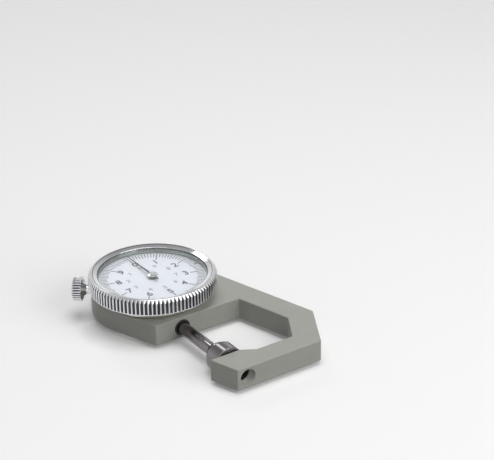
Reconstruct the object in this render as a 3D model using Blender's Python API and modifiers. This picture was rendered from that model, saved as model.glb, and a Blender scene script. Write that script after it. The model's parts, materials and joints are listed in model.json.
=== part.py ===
"""Dial thickness gauge: a C-frame with a spindle, an anvil and a dial, lying on its back.

Every size is in metres. The dial's axis is the Z axis, the spindle runs along Y with the
anvil at its lower end, and X points from the spindle into the throat. The gauge rests on
its back cover and on the anvil's rim, at Z = 0.
"""

import math

import bmesh
import bpy
from mathutils import Matrix, Vector

# Clearances
STACK_GAP = 0.0003  # between two faces that are fastened together
PRESS_GAP = 0.00005  # round a piece pressed into its hole
RUN_GAP = 0.0001  # round a shaft that turns or slides, and round a screw
CUT_OVER = 0.001  # how far a cutter runs past the face that it opens
WELD_DISTANCE = 1e-7  # points closer than this are made one
TURN_WELD_DISTANCE = 1e-6  # the same, where a turned profile closes on itself

# Travel and gearing
TRAVEL = 0.010  # the spindle's stroke
TRAVEL_PER_TURN = 0.010  # spindle travel for one turn of the pointer
PINION_TEETH = 16
GEAR_TEETH = 30
MODULE = TRAVEL_PER_TURN / (math.pi * PINION_TEETH)
TOOTH_PITCH = math.pi * MODULE
PRESSURE_ANGLE = math.radians(20)
ADDENDUM_SHARE = 0.8  # of the module
DEDENDUM_SHARE = 1.15  # of the module
TOOTH_THICKNESS_SHARE = 0.44  # of the pitch, which leaves the backlash
PINION_PITCH_RADIUS = PINION_TEETH * MODULE / 2
GEAR_PITCH_RADIUS = GEAR_TEETH * MODULE / 2

# Round spaces inside the frame, which make room for the gears
CAVITY_MARGIN = 0.00165  # from the outer gear's pitch circle to the cavity's wall
CAVITY_RADIUS = 3 * GEAR_PITCH_RADIUS + CAVITY_MARGIN
PLATE_LAND = 0.0028  # width of the ledge that the plate lies on
PLATE_RECESS_RADIUS = CAVITY_RADIUS + PLATE_LAND
PLATE_RADIUS = PLATE_RECESS_RADIUS - STACK_GAP
COVER_LAND = 0.0036  # width of the ledge that the cover is screwed to
COVER_RECESS_RADIUS = CAVITY_RADIUS + COVER_LAND
COVER_RECESS_DEPTH = 0.0013
COVER_RADIUS = COVER_RECESS_RADIUS - STACK_GAP
COVER_LIP = 0.0006  # how far the cover's rim reaches in past the cavity's wall
COVER_HOLLOW_RADIUS = CAVITY_RADIUS - COVER_LIP
COVER_FLOOR = 0.0012
COVER_CHAMFER = 0.0004

# Frame: plan corners, measured from the dial's axis
FRAME_THICKNESS = 0.0073
FRAME_EDGE_ROUND = 0.00035
ARM_WIDTH = 0.0085
BODY_WALL = 0.0058  # from the cover's recess to the body's round side
THROAT_WALL = 0.0032  # from the cover's recess to the throat
BODY_CENTRE = Vector((0.0029, 0.0056))
BODY_RADIUS = COVER_RECESS_RADIUS + BODY_WALL
THROAT_Y = -COVER_RECESS_RADIUS - THROAT_WALL
NOTCH_Y = -0.0470
SEAT_Y = -0.0443
BODY_CORNER = Vector((-0.0097, THROAT_Y))
WINDOW_TOP = Vector((0.0214, THROAT_Y))
WINDOW_SIDE = Vector((0.0269, -0.0368))
WINDOW_LOW = Vector((0.0213, NOTCH_Y))
NOTCH_FOOT = Vector((0.0080, NOTCH_Y))
SEAT_RIGHT = Vector((0.0037, SEAT_Y))
SEAT_LEFT = Vector((-0.0070, SEAT_Y))
JAW_LENGTH = 0.0099  # from the anvil's seat to the jaw's outer face
JAW_TIP = Vector((-0.0037, SEAT_Y - JAW_LENGTH))

# Anvil and its screw
ANVIL_RADIUS = 0.0050
ANVIL_STEP_WIDTH = 0.0010
ANVIL_FACE_RADIUS = ANVIL_RADIUS - ANVIL_STEP_WIDTH
ANVIL_HEIGHT = 0.0071
ANVIL_FACE_HEIGHT = 0.0018
ANVIL_CHAMFER = 0.0004
CONTACT_GAP = 0.0001  # between the two measuring faces when closed
CONTACT_Y = SEAT_Y + STACK_GAP + ANVIL_HEIGHT + CONTACT_GAP
ANVIL_THREAD_RADIUS = 0.0012
ANVIL_THREAD_DEPTH = 0.0040
JAW_BORE_RADIUS = 0.0027
JAW_BORE_DEPTH = 0.0057
CAP_HEAD_PLAY = 0.00045
CAP_HEAD_RADIUS = JAW_BORE_RADIUS - CAP_HEAD_PLAY
CAP_HEAD_HEIGHT = 0.0025
CAP_SOCKET_RADIUS = 0.0012
CAP_SOCKET_DEPTH = 0.0012

# Spindle and what it carries
SPINDLE_RADIUS = 0.0020
SPINDLE_STEP = 0.0005
SPINDLE_UPPER_RADIUS = SPINDLE_RADIUS - SPINDLE_STEP
TIP_LENGTH = 0.0019
TIP_CHAMFER = 0.00035
TIP_STUD_RADIUS = 0.0007
TIP_STUD_LENGTH = 0.0020
RACK_TEETH = 22
RACK_TEETH_ABOVE = 2  # teeth of the rack above its pinion's axis
RACK_DEPTH = 0.0008  # from the spindle's side to the rack's pitch line
COLLAR_PROUD = 0.0001  # how far the collar stands out past the spindle
COLLAR_RADIUS = SPINDLE_RADIUS + COLLAR_PROUD
COLLAR_HEIGHT = 0.0010
GUIDE_PIN_RADIUS = 0.0005
GUIDE_PIN_Y = -0.0070
GUIDE_PIN_SEAT = 0.0010
GUIDE_PIN_ROOT_X = SPINDLE_RADIUS - GUIDE_PIN_SEAT
LIFT_KNOB_RADIUS = 0.0032
LIFT_KNOB_LENGTH = 0.0044
LIFT_KNOB_STANDOFF = 0.0006
LIFT_KNOB_RIBS = 20
KNOB_END_WALL = 0.0008
KNURL_DEPTH = 0.00028
KNOB_CHAMFER = 0.0004
RIB_TIP_SHARES = (0.35, 0.7)  # where a rib's flat tip starts and ends, of its pitch

# Bushes and the return spring
BUSH_WALL = 0.0006
LOWER_BUSH_RADIUS = SPINDLE_RADIUS + RUN_GAP + BUSH_WALL
LOWER_BUSH_PROUD = 0.0004
LOWER_BUSH_LENGTH = LOWER_BUSH_PROUD + THROAT_WALL - STACK_GAP
CHANNEL_PLAY = 0.0006
CHANNEL_RADIUS = SPINDLE_RADIUS + CHANNEL_PLAY
UPPER_BUSH_PROUD = 0.0002
UPPER_BUSH_TOP_Y = BODY_CENTRE.y + BODY_RADIUS + UPPER_BUSH_PROUD
UPPER_BUSH_LENGTH = 0.0036
LIFT_KNOB_Y = UPPER_BUSH_TOP_Y + LIFT_KNOB_STANDOFF
SPINDLE_TOP_Y = LIFT_KNOB_Y + LIFT_KNOB_LENGTH - KNOB_END_WALL
SPRING_WIRE_RADIUS = 0.00022
SPRING_INSET = 0.0002  # from the spindle's side in to the middle of the spring's wire
SPRING_RADIUS = SPINDLE_RADIUS - SPRING_INSET
SPRING_TURNS = 6
SPRING_POINTS_PER_TURN = 10

# Screws
SCREW_INSET = 0.0014  # from the cavity's wall out to the screws
COVER_SCREW_CIRCLE = CAVITY_RADIUS + SCREW_INSET
COVER_SCREW_ANGLES = (60, 180, 300)
CASE_SCREW_CIRCLE = CAVITY_RADIUS + SCREW_INSET
CASE_SCREW_ANGLES = (0, 120, 240)
SMALL_HEAD_RADIUS = 0.0012
SMALL_HEAD_HEIGHT = 0.0007
SMALL_SHANK_RADIUS = 0.0007
CASE_SCREW_LENGTH = 0.0048
COVER_SCREW_LENGTH = 0.0034
SLOT_WIDTH = 0.0004
SLOT_DEPTH = 0.0003
TINY_HEAD_RADIUS = 0.0009
TINY_HEAD_HEIGHT = 0.0006
TINY_SHANK_RADIUS = 0.0005
TINY_SHANK_LENGTH = 0.0018

# Movement between the plate and the bridge
PILLAR_INSET = 0.0022  # from the cavity's wall in to the pillars
PILLAR_CIRCLE = CAVITY_RADIUS - PILLAR_INSET
PILLAR_ANGLES = (30, 180, 255)
PILLAR_RADIUS = 0.0012
PILLAR_HEIGHT = 0.0022
PILLAR_FOOT_RADIUS = 0.0006
PILLAR_FOOT_LENGTH = 0.0010
BRIDGE_INSET = 0.0006
BRIDGE_RADIUS = CAVITY_RADIUS - BRIDGE_INSET
BRIDGE_THICKNESS = 0.0008
ARBOR_RADIUS = 0.0005
GEAR_THICKNESS = 0.0006
GEAR_LIFT = 0.00045  # gear above the plate
PINION_FACE = 0.0023
TAKEUP_ANGLE = math.radians(-53)
HAIRSPRING_TURNS = 4
HAIRSPRING_POINTS_PER_TURN = 16
HAIRSPRING_INNER = 0.0009
HAIRSPRING_OUTER = 0.0026
HAIRSPRING_HEIGHT = 0.0005
HAIRSPRING_STRIP = 0.00012
HAIRSPRING_LIFT = 0.0006  # hairspring above the gear
STUD_RADIUS = 0.00035
COLLET_RADIUS = 0.00068
COLLET_HEIGHT = 0.0009
GUIDE_BLOCK_GAP = 0.0014  # from the spindle's side to the block
GUIDE_BLOCK_WIDTH = 0.0022
GUIDE_BLOCK_WALL = 0.0007  # beyond each end of the slot
GUIDE_BLOCK_DEPTH = 0.0014  # below the spindle's axis
GUIDE_BLOCK_NEAR_X = SPINDLE_RADIUS + GUIDE_BLOCK_GAP
GUIDE_BLOCK_FAR_X = GUIDE_BLOCK_NEAR_X + GUIDE_BLOCK_WIDTH
GUIDE_BLOCK_LOW_Y = GUIDE_PIN_Y - GUIDE_PIN_RADIUS - GUIDE_BLOCK_WALL
GUIDE_BLOCK_HIGH_Y = GUIDE_PIN_Y + TRAVEL + GUIDE_PIN_RADIUS + GUIDE_BLOCK_WALL
GUIDE_PIN_SHORT = 0.0004  # how far the pin stays inside the block's outer face
GUIDE_PIN_END_X = GUIDE_BLOCK_FAR_X - GUIDE_PIN_SHORT
GUIDE_SCREW_INSET = 0.0014
GUIDE_SCREW_YS = (GUIDE_BLOCK_LOW_Y + GUIDE_SCREW_INSET, GUIDE_BLOCK_HIGH_Y - GUIDE_SCREW_INSET)

# Dial, with the crystal, the ring between them and the bezel that holds them
DIAL_RADIUS = 0.0180
DIAL_THICKNESS = 0.0005
DIAL_HOLE_RADIUS = 0.0013
DIAL_GAP = 0.0002
SEAT_PLAY = 0.0002  # round the dial, the ring and the crystal
DIAL_SEAT_RADIUS = DIAL_RADIUS + SEAT_PLAY
CRYSTAL_THICKNESS = 0.0005
CRYSTAL_RING_WALL = 0.0008
CRYSTAL_RING_INNER = DIAL_RADIUS - CRYSTAL_RING_WALL
LIP_WIDTH = 0.0004
LIP_INNER = DIAL_SEAT_RADIUS - LIP_WIDTH
LIP_THICKNESS = 0.00035
CREST_ABOVE_LIP = 0.0003
LEDGE_WIDTH = 0.0016
LEDGE_INNER = DIAL_SEAT_RADIUS - LEDGE_WIDTH
LEDGE_THICKNESS = 0.0005
BORE_STEP = 0.0005
BEZEL_BORE = DIAL_SEAT_RADIUS + BORE_STEP
BEZEL_WALL = 0.0013
BEZEL_UNDER = 0.0038  # bezel's lower edge above the frame's top face
RIM_RADIUS = BEZEL_BORE + BEZEL_WALL
RIM_CREST_INSET = 0.0006
RIM_CREST_RADIUS = RIM_RADIUS - RIM_CREST_INSET
RIM_SHOULDER = 0.00045
RIM_ROUND_SHARE = 0.17  # of the shoulder, at the middle of the rim's rounding
FOOT_PROUD = 0.00015
FOOT_RADIUS = RIM_RADIUS + FOOT_PROUD
FOOT_HEIGHT = 0.00035
FLUTES = 98
FLUTE_DEPTH = 0.0005
FLUTE_ROOT_PROUD = 0.0002
FLUTE_ROOT_RADIUS = RIM_RADIUS + FLUTE_ROOT_PROUD
FLUTE_TIP_RADIUS = FLUTE_ROOT_RADIUS + FLUTE_DEPTH
FLUTE_BAND_INSET = 0.0003
FLUTE_BAND_TOP = 0.00085  # below the rim's crest

# Dial case, the turned cup under the dial
CASE_FLOOR_LIP = 0.0004  # how far the floor reaches in past the cavity's wall
CASE_FLOOR_INNER = CAVITY_RADIUS - CASE_FLOOR_LIP
CASE_FLOOR_THICKNESS = 0.0008
CASE_NECK_INNER = PLATE_RECESS_RADIUS
CASE_NECK_WALL = 0.0018
CASE_NECK_OUTER = CASE_NECK_INNER + CASE_NECK_WALL
BEZEL_PLAY = 0.0003  # between the case's flange and the bezel that turns on it
CASE_FLANGE_RADIUS = BEZEL_BORE - BEZEL_PLAY
CASE_FLANGE_THICKNESS = 0.0010
WIRE_GROOVE_DEPTH = 0.0004
WIRE_GROOVE_WIDTH = 0.0006
WIRE_RADIUS = 0.0002
WIRE_OPENING = math.radians(20)

# Pointer
HUB_RADIUS = 0.0015
HUB_HEIGHT = 0.0008
HAND_MARGIN = 0.0012  # from the hand's end to the ring round the dial
HAND_LENGTH = CRYSTAL_RING_INNER - HAND_MARGIN
HAND_TAIL = 0.0035
HAND_ROOT_WIDTH = 0.0008
HAND_TIP_WIDTH = 0.00025
HAND_THICKNESS = 0.00015
HUB_CAP_RADIUS = 0.0017
HUB_CAP_HEIGHT = 0.00033
HUB_CAP_HEADROOM = 0.00012  # between the cap and the crystal
CAP_WALL_SHARE = 0.35  # of the cap's height
CAP_CROWN_SHARE = 0.85

# Bezel clamp
CLAMP_ANGLE = math.radians(142)
CLAMP_LIFT = BEZEL_UNDER / 2  # clamp's axis above the frame's top face
CLAMP_BUSH_RADIUS = CLAMP_LIFT - STACK_GAP
CLAMP_BUSH_WALL = 0.0005
CLAMP_THREAD_RADIUS = CLAMP_BUSH_RADIUS - CLAMP_BUSH_WALL
CLAMP_STEM_RADIUS = CLAMP_BUSH_RADIUS - RUN_GAP
CLAMP_CONE_FLARE = 0.0009
CLAMP_CONE_RADIUS = CLAMP_STEM_RADIUS + CLAMP_CONE_FLARE
CLAMP_CONE_LENGTH = 0.0011  # the cone wedges the bezel when the screw is driven in
CLAMP_KNOB_RADIUS = 0.0040
CLAMP_KNOB_LENGTH = 0.0035
CLAMP_KNOB_STANDOFF = 0.0019
CLAMP_KNOB_AT = FLUTE_TIP_RADIUS + CLAMP_KNOB_STANDOFF  # from the dial's axis
CLAMP_KNOB_RIBS = 25
CLAMP_TIP_INSET = 0.0007  # from the neck's inside to the screw's tip
CLAMP_TIP_AT = CASE_NECK_INNER + CLAMP_TIP_INSET
CLAMP_BUSH_LENGTH = 0.0038
CLAMP_THREAD_AT = CLAMP_TIP_AT + CLAMP_BUSH_LENGTH

# Facets and angles
RIM_FACETS = 52
INNER_FACETS = 36
ROUND_FACETS = 32
SMALL_FACETS = 12
ARC_FACETS = 28
HEX_SIDES = 6
FLAT_ANGLE = math.radians(0.2)  # faces closer than this to one plane are made one
EDGE_ANGLE = math.radians(15)  # the frame's edges sharper than this are rounded
SHARP_ANGLE = math.radians(30)  # edges sharper than this are shaded sharp

# Heights that follow from the sizes above
SPINDLE_Z = ANVIL_RADIUS
FRAME_BACK = SPINDLE_Z - FRAME_THICKNESS / 2
FRAME_TOP = FRAME_BACK + FRAME_THICKNESS
PLATE_HEADROOM = 0.00025  # between the spindle and the plate above it
PLATE_BOTTOM = SPINDLE_Z + SPINDLE_RADIUS + PLATE_HEADROOM
PLATE_LEDGE = PLATE_BOTTOM - STACK_GAP
GUIDE_SCREW_SEAT = FRAME_TOP - TINY_HEAD_HEIGHT - RUN_GAP
GUIDE_SCREW_END = GUIDE_SCREW_SEAT - TINY_SHANK_LENGTH
CASE_BOTTOM = FRAME_TOP + STACK_GAP
GEAR_BOTTOM = FRAME_TOP + GEAR_LIFT
PILLAR_BOTTOM = FRAME_TOP + STACK_GAP
BRIDGE_BOTTOM = PILLAR_BOTTOM + PILLAR_HEIGHT + STACK_GAP
BRIDGE_TOP = BRIDGE_BOTTOM + BRIDGE_THICKNESS
BEZEL_BOTTOM = FRAME_TOP + BEZEL_UNDER
FLANGE_BOTTOM = BEZEL_BOTTOM
FLANGE_TOP = FLANGE_BOTTOM + CASE_FLANGE_THICKNESS
WIRE_Z = FLANGE_BOTTOM + CASE_FLANGE_THICKNESS / 2
LEDGE_BOTTOM = FLANGE_TOP + DIAL_GAP
LEDGE_TOP = LEDGE_BOTTOM + LEDGE_THICKNESS
DIAL_BOTTOM = LEDGE_TOP + DIAL_GAP
DIAL_TOP = DIAL_BOTTOM + DIAL_THICKNESS
HUB_BOTTOM = DIAL_TOP + STACK_GAP
HUB_TOP = HUB_BOTTOM + HUB_HEIGHT
HUB_CAP_BOTTOM = HUB_TOP + RUN_GAP
HUB_CAP_TOP = HUB_CAP_BOTTOM + HUB_CAP_HEIGHT
CRYSTAL_BOTTOM = HUB_CAP_TOP + HUB_CAP_HEADROOM
CRYSTAL_TOP = CRYSTAL_BOTTOM + CRYSTAL_THICKNESS
LIP_BOTTOM = CRYSTAL_TOP + RUN_GAP
LIP_TOP = LIP_BOTTOM + LIP_THICKNESS
RIM_TOP = LIP_TOP + CREST_ABOVE_LIP
CLAMP_Z = FRAME_TOP + CLAMP_LIFT

# Gear places that follow from the sizes above
RACK_PITCH_X = RACK_DEPTH - SPINDLE_RADIUS
TRANSFER_X = RACK_PITCH_X - PINION_PITCH_RADIUS
TRANSFER_Y = math.sqrt((2 * GEAR_PITCH_RADIUS) ** 2 - TRANSFER_X ** 2)
SPINDLE_STEP_Y = TRANSFER_Y + PINION_PITCH_RADIUS
TAKEUP_X = 2 * GEAR_PITCH_RADIUS * math.cos(TAKEUP_ANGLE)
TAKEUP_Y = 2 * GEAR_PITCH_RADIUS * math.sin(TAKEUP_ANGLE)
TRANSFER_PLACE = Vector((TRANSFER_X, TRANSFER_Y))
TAKEUP_PLACE = Vector((TAKEUP_X, TAKEUP_Y))
STUD_PLACE = TAKEUP_PLACE + Vector((HAIRSPRING_OUTER + STUD_RADIUS + RUN_GAP, 0))

ALONG_Y = Matrix.Rotation(math.radians(-90), 4, "X")
UPSIDE_DOWN = Matrix.Rotation(math.pi, 4, "X")


def clear_scene():
    """Remove every object that the file opened with."""
    for obj in list(bpy.data.objects):
        bpy.data.objects.remove(obj)


def new_collection(name):
    """Add a collection to the scene."""
    collection = bpy.data.collections.new(name)
    bpy.context.scene.collection.children.link(collection)
    return collection


def new_material(name, colour, metallic, roughness):
    """Make a plain Principled material."""
    material = bpy.data.materials.new(name)
    material.use_nodes = True
    shader = material.node_tree.nodes["Principled BSDF"]
    shader.inputs["Base Color"].default_value = (*colour, 1)
    shader.inputs["Metallic"].default_value = metallic
    shader.inputs["Roughness"].default_value = roughness
    return material


clear_scene()
PARTS = new_collection("thickness_gauge")
CUTTERS = new_collection("cutters")
CUTTERS.hide_render = True

ENAMEL = new_material("grey_enamel", (0.38, 0.39, 0.36), 0, 0.45)
CHROME = new_material("chrome", (0.80, 0.80, 0.82), 1, 0.12)
STEEL = new_material("ground_steel", (0.45, 0.44, 0.45), 1, 0.25)
DARK_STEEL = new_material("dark_steel", (0.12, 0.12, 0.13), 1, 0.35)
BRASS = new_material("brass", (0.75, 0.58, 0.25), 1, 0.30)
NICKEL = new_material("nickel", (0.66, 0.64, 0.60), 1, 0.30)
DIAL_WHITE = new_material("dial_white", (0.85, 0.86, 0.90), 0, 0.40)
BLUED = new_material("blackened_steel", (0.03, 0.03, 0.04), 1, 0.30)
CLEAR = new_material("clear_acrylic", (0.90, 0.95, 0.95), 0, 0.05)


def tidy(mesh):
    """Weld a mesh, drop its stray edges and turn its faces outwards."""
    work = bmesh.new()
    work.from_mesh(mesh)
    bmesh.ops.remove_doubles(work, verts=work.verts, dist=WELD_DISTANCE)
    bmesh.ops.dissolve_degenerate(work, edges=work.edges, dist=WELD_DISTANCE)
    bmesh.ops.dissolve_limit(
        work, angle_limit=FLAT_ANGLE, verts=work.verts, edges=work.edges
    )
    bmesh.ops.recalc_face_normals(work, faces=work.faces)
    work.to_mesh(mesh)
    work.free()


def apply_modifiers(obj):
    """Replace an object's modifiers, or its curve, by the mesh that they make."""
    graph = bpy.context.evaluated_depsgraph_get()
    mesh = bpy.data.meshes.new_from_object(obj.evaluated_get(graph))
    tidy(mesh)
    if obj.type == "MESH":
        obj.modifiers.clear()
        obj.data = mesh
        return obj
    name, matrix = obj.name, obj.matrix_world.copy()
    bpy.data.objects.remove(obj)
    solid = bpy.data.objects.new(name, mesh)
    solid.matrix_world = matrix
    PARTS.objects.link(solid)
    return solid


def mesh_object(name, mesh):
    """Link a mesh to the parts as an object of its own."""
    obj = bpy.data.objects.new(name, mesh)
    PARTS.objects.link(obj)
    return obj


def moved(obj, matrix):
    """Move an object's mesh, leaving the object's own place alone."""
    obj.data.transform(matrix)
    return obj


def turned(name, profile, facets=ROUND_FACETS):
    """Turn a profile about Z.

    The profile is (radius, height) points. One that starts and ends on the axis makes a
    solid; any other is closed on itself and makes a ring.
    """
    ring = profile[0][0] > 0
    mesh = bpy.data.meshes.new(name)
    points = [(radius, 0, height) for radius, height in profile]
    edges = [(index, index + 1) for index in range(len(points) - 1)]
    if ring:
        edges.append((len(points) - 1, 0))
    mesh.from_pydata(points, edges, [])
    obj = mesh_object(name, mesh)
    screw = obj.modifiers.new("turn", "SCREW")
    screw.steps = screw.render_steps = facets
    screw.use_merge_vertices = True
    screw.merge_threshold = TURN_WELD_DISTANCE
    return apply_modifiers(obj)


def rod(name, radius, low, high, facets=ROUND_FACETS):
    """Make a plain cylinder on Z."""
    return turned(name, [(0, high), (radius, high), (radius, low), (0, low)], facets)


def tube(name, outer, inner, low, high, facets=ROUND_FACETS):
    """Make a plain ring on Z."""
    return turned(name, [(outer, high), (outer, low), (inner, low), (inner, high)], facets)


def prism(name, outline, low, high):
    """Stand a flat outline between two heights."""
    work = bmesh.new()
    face = work.faces.new([work.verts.new((x, y, low)) for x, y in outline])
    top = bmesh.ops.extrude_face_region(work, geom=[face])["geom"]
    raised = [item for item in top if isinstance(item, bmesh.types.BMVert)]
    bmesh.ops.translate(work, verts=raised, vec=(0, 0, high - low))
    mesh = bpy.data.meshes.new(name)
    work.to_mesh(mesh)
    work.free()
    tidy(mesh)
    return mesh_object(name, mesh)


def box(name, low, high):
    """Make a block between two corners."""
    outline = [(low[0], low[1]), (high[0], low[1]), (high[0], high[1]), (low[0], high[1])]
    return prism(name, outline, low[2], high[2])


def boolean(target, other, operation):
    """Join another object to a target, or cut it away, and keep the result as a mesh."""
    change = target.modifiers.new(operation.lower(), "BOOLEAN")
    change.operation = operation
    change.object = other
    change.solver = "EXACT"
    apply_modifiers(target)
    bpy.data.objects.remove(other)


def cut(target, cutter):
    """Cut a piece away from a target."""
    boolean(target, cutter, "DIFFERENCE")


def join(target, other):
    """Make two overlapping pieces one."""
    boolean(target, other, "UNION")


def finish(obj, material, place=(0, 0, 0), smooth=True):
    """Give a piece its material, its shading and the axis that it sits on."""
    origin = Vector(place)
    obj.data.transform(Matrix.Translation(-origin))
    obj.location = origin
    obj.data.materials.clear()
    obj.data.materials.append(material)
    if smooth:
        obj.data.shade_smooth()
        obj.data.set_sharp_from_angle(angle=SHARP_ANGLE)
    return obj


def on_circle(radius, degrees):
    """Return the point of a circle about the dial's axis."""
    angle = math.radians(degrees)
    return Vector((radius * math.cos(angle), radius * math.sin(angle)))


def shifted(obj, place, height=0):
    """Move a mesh made on the Z axis to a place in plan."""
    return moved(obj, Matrix.Translation((place[0], place[1], height)))


def along_spindle(obj):
    """Turn a mesh made on the Z axis onto the spindle's axis, its Z becoming Y."""
    moved(obj, ALONG_Y)
    return moved(obj, Matrix.Translation((0, 0, SPINDLE_Z)))


def along_clamp(obj):
    """Turn a mesh made on the Z axis onto the clamp's axis, its Z pointing outwards."""
    tilt = Matrix.Rotation(math.radians(90), 4, "Y")
    swing = Matrix.Rotation(CLAMP_ANGLE, 4, "Z")
    moved(obj, swing @ tilt)
    return moved(obj, Matrix.Translation((0, 0, CLAMP_Z)))


def tangent_point(outside, centre, radius, side):
    """Return where a line from a point outside touches a circle.

    side is 1 for the touching point that lies anticlockwise of the line to the centre as
    seen from the centre, and -1 for the other one.
    """
    reach = outside - centre
    angle = math.atan2(reach.y, reach.x) + side * math.acos(radius / reach.length)
    return centre + radius * Vector((math.cos(angle), math.sin(angle)))


def arc(centre, radius, start, end, facets):
    """Return the points of an arc, anticlockwise from one point on it to another."""
    first = math.atan2(start.y - centre.y, start.x - centre.x)
    last = math.atan2(end.y - centre.y, end.x - centre.x)
    if last < first:
        last += 2 * math.pi
    steps = [first + (last - first) * index / facets for index in range(facets + 1)]
    return [centre + radius * Vector((math.cos(a), math.sin(a))) for a in steps]


def offset_line(start, end, distance):
    """Return a line's start and direction after moving it to its left."""
    direction = (end - start).normalized()
    return start + distance * Vector((-direction.y, direction.x)), direction


def meeting_point(first, second):
    """Return where two lines, each a start and a direction, cross."""
    (start, along), (other, across) = first, second
    gap = other - start
    share = (gap.x * across.y - gap.y * across.x) / (along.x * across.y - along.y * across.x)
    return start + share * along


def frame_outline():
    """Return the frame's plan: a round body and an arm that bends round the throat."""
    upper = offset_line(WINDOW_TOP, WINDOW_SIDE, ARM_WIDTH)
    lower = offset_line(WINDOW_SIDE, WINDOW_LOW, ARM_WIDTH)
    elbow = meeting_point(upper, lower)
    heel = meeting_point(lower, (JAW_TIP, Vector((1, 0))))
    right = tangent_point(elbow, BODY_CENTRE, BODY_RADIUS, 1)
    left = tangent_point(BODY_CORNER, BODY_CENTRE, BODY_RADIUS, -1)
    inside = [BODY_CORNER, WINDOW_TOP, WINDOW_SIDE, WINDOW_LOW, NOTCH_FOOT, SEAT_RIGHT]
    jaw = [SEAT_LEFT, JAW_TIP, heel, elbow]
    return inside + jaw + arc(BODY_CENTRE, BODY_RADIUS, right, left, ARC_FACETS)


def screw_hole(target, place, low, high, radius=SMALL_SHANK_RADIUS):
    """Drill a clearance hole along Z."""
    drill = rod("drill", radius + RUN_GAP, low, high, SMALL_FACETS)
    cut(target, shifted(drill, place))


def build_frame():
    """Make the cast frame, with its cavity, bores and screw holes."""
    frame = prism("frame", frame_outline(), FRAME_BACK, FRAME_TOP)
    bevel = frame.modifiers.new("edge_round", "BEVEL")
    bevel.width = FRAME_EDGE_ROUND
    bevel.segments = 2
    bevel.limit_method = "ANGLE"
    bevel.angle_limit = EDGE_ANGLE
    apply_modifiers(frame)
    recess_top = FRAME_BACK + COVER_RECESS_DEPTH
    below, above = FRAME_BACK - CUT_OVER, FRAME_TOP + CUT_OVER
    cut(frame, rod("cavity", CAVITY_RADIUS, below, above, INNER_FACETS))
    cut(frame, rod("recess", COVER_RECESS_RADIUS, below, recess_top, INNER_FACETS))
    cut(frame, rod("recess", PLATE_RECESS_RADIUS, PLATE_LEDGE, above, INNER_FACETS))
    bush_bore = rod(
        "bore", LOWER_BUSH_RADIUS + PRESS_GAP, BODY_CORNER.y - CUT_OVER, 0, ROUND_FACETS
    )
    cut(frame, along_spindle(bush_bore))
    channel = rod("bore", CHANNEL_RADIUS, 0, UPPER_BUSH_TOP_Y + CUT_OVER, ROUND_FACETS)
    cut(frame, along_spindle(channel))
    jaw_bore_end = JAW_TIP.y + JAW_BORE_DEPTH
    jaw_bore = rod("bore", JAW_BORE_RADIUS, JAW_TIP.y - CUT_OVER, jaw_bore_end, ROUND_FACETS)
    cut(frame, along_spindle(jaw_bore))
    anvil_hole = rod(
        "bore", ANVIL_THREAD_RADIUS + RUN_GAP, JAW_TIP.y, SEAT_LEFT.y + CUT_OVER, SMALL_FACETS
    )
    cut(frame, along_spindle(anvil_hole))
    for degrees in CASE_SCREW_ANGLES:
        place = on_circle(CASE_SCREW_CIRCLE, degrees)
        low = CASE_BOTTOM + CASE_FLOOR_THICKNESS - CASE_SCREW_LENGTH - STACK_GAP
        screw_hole(frame, place, low, above)
    for degrees in COVER_SCREW_ANGLES:
        place = on_circle(COVER_SCREW_CIRCLE, degrees)
        screw_hole(frame, place, below, SMALL_HEAD_HEIGHT + COVER_SCREW_LENGTH + STACK_GAP)
    return finish(frame, ENAMEL)


def slotted_screw(name, head_radius, head_height, shank_radius, shank_length):
    """Make a cheese-head screw on Z: head above zero, shank below it, slot across the head."""
    profile = [
        (0, head_height),
        (head_radius, head_height),
        (head_radius, 0),
        (shank_radius, 0),
        (shank_radius, -shank_length),
        (0, -shank_length),
    ]
    screw = turned(name, profile, SMALL_FACETS)
    half = SLOT_WIDTH / 2
    reach = head_radius + CUT_OVER
    low = (-half, -reach, head_height - SLOT_DEPTH)
    cut(screw, box("slot", low, (half, reach, head_height + CUT_OVER)))
    return screw


def small_screw(name, place, seat, length, turned_over=False):
    """Set one of the case's or the cover's screws with its head's underside on a seat."""
    screw = slotted_screw(
        name, SMALL_HEAD_RADIUS, SMALL_HEAD_HEIGHT, SMALL_SHANK_RADIUS, length
    )
    if turned_over:
        moved(screw, UPSIDE_DOWN)
    shifted(screw, place, seat)
    return finish(screw, STEEL, (*place, seat))


def tiny_screw(name, place, seat):
    """Set one of the movement's screws with its head's underside on a seat."""
    screw = slotted_screw(
        name, TINY_HEAD_RADIUS, TINY_HEAD_HEIGHT, TINY_SHANK_RADIUS, TINY_SHANK_LENGTH
    )
    shifted(screw, place, seat)
    return finish(screw, STEEL, (*place, seat))


def build_back_cover():
    """Make the cover that closes the cavity from behind, and its three screws."""
    rim_top = FRAME_BACK + COVER_RECESS_DEPTH - STACK_GAP
    profile = [
        (0, COVER_FLOOR),
        (COVER_HOLLOW_RADIUS, COVER_FLOOR),
        (COVER_HOLLOW_RADIUS, rim_top),
        (COVER_RADIUS, rim_top),
        (COVER_RADIUS, COVER_CHAMFER),
        (COVER_RADIUS - COVER_CHAMFER, 0),
        (0, 0),
    ]
    cover = turned("back_cover", profile, INNER_FACETS)
    seat = SMALL_HEAD_HEIGHT + RUN_GAP
    for index, degrees in enumerate(COVER_SCREW_ANGLES, start=1):
        place = on_circle(COVER_SCREW_CIRCLE, degrees)
        screw_hole(cover, place, -CUT_OVER, rim_top + CUT_OVER)
        screw_hole(cover, place, -CUT_OVER, seat + RUN_GAP, SMALL_HEAD_RADIUS)
        small_screw(f"cover_screw_{index}", place, seat, COVER_SCREW_LENGTH, turned_over=True)
    finish(cover, NICKEL)


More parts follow.
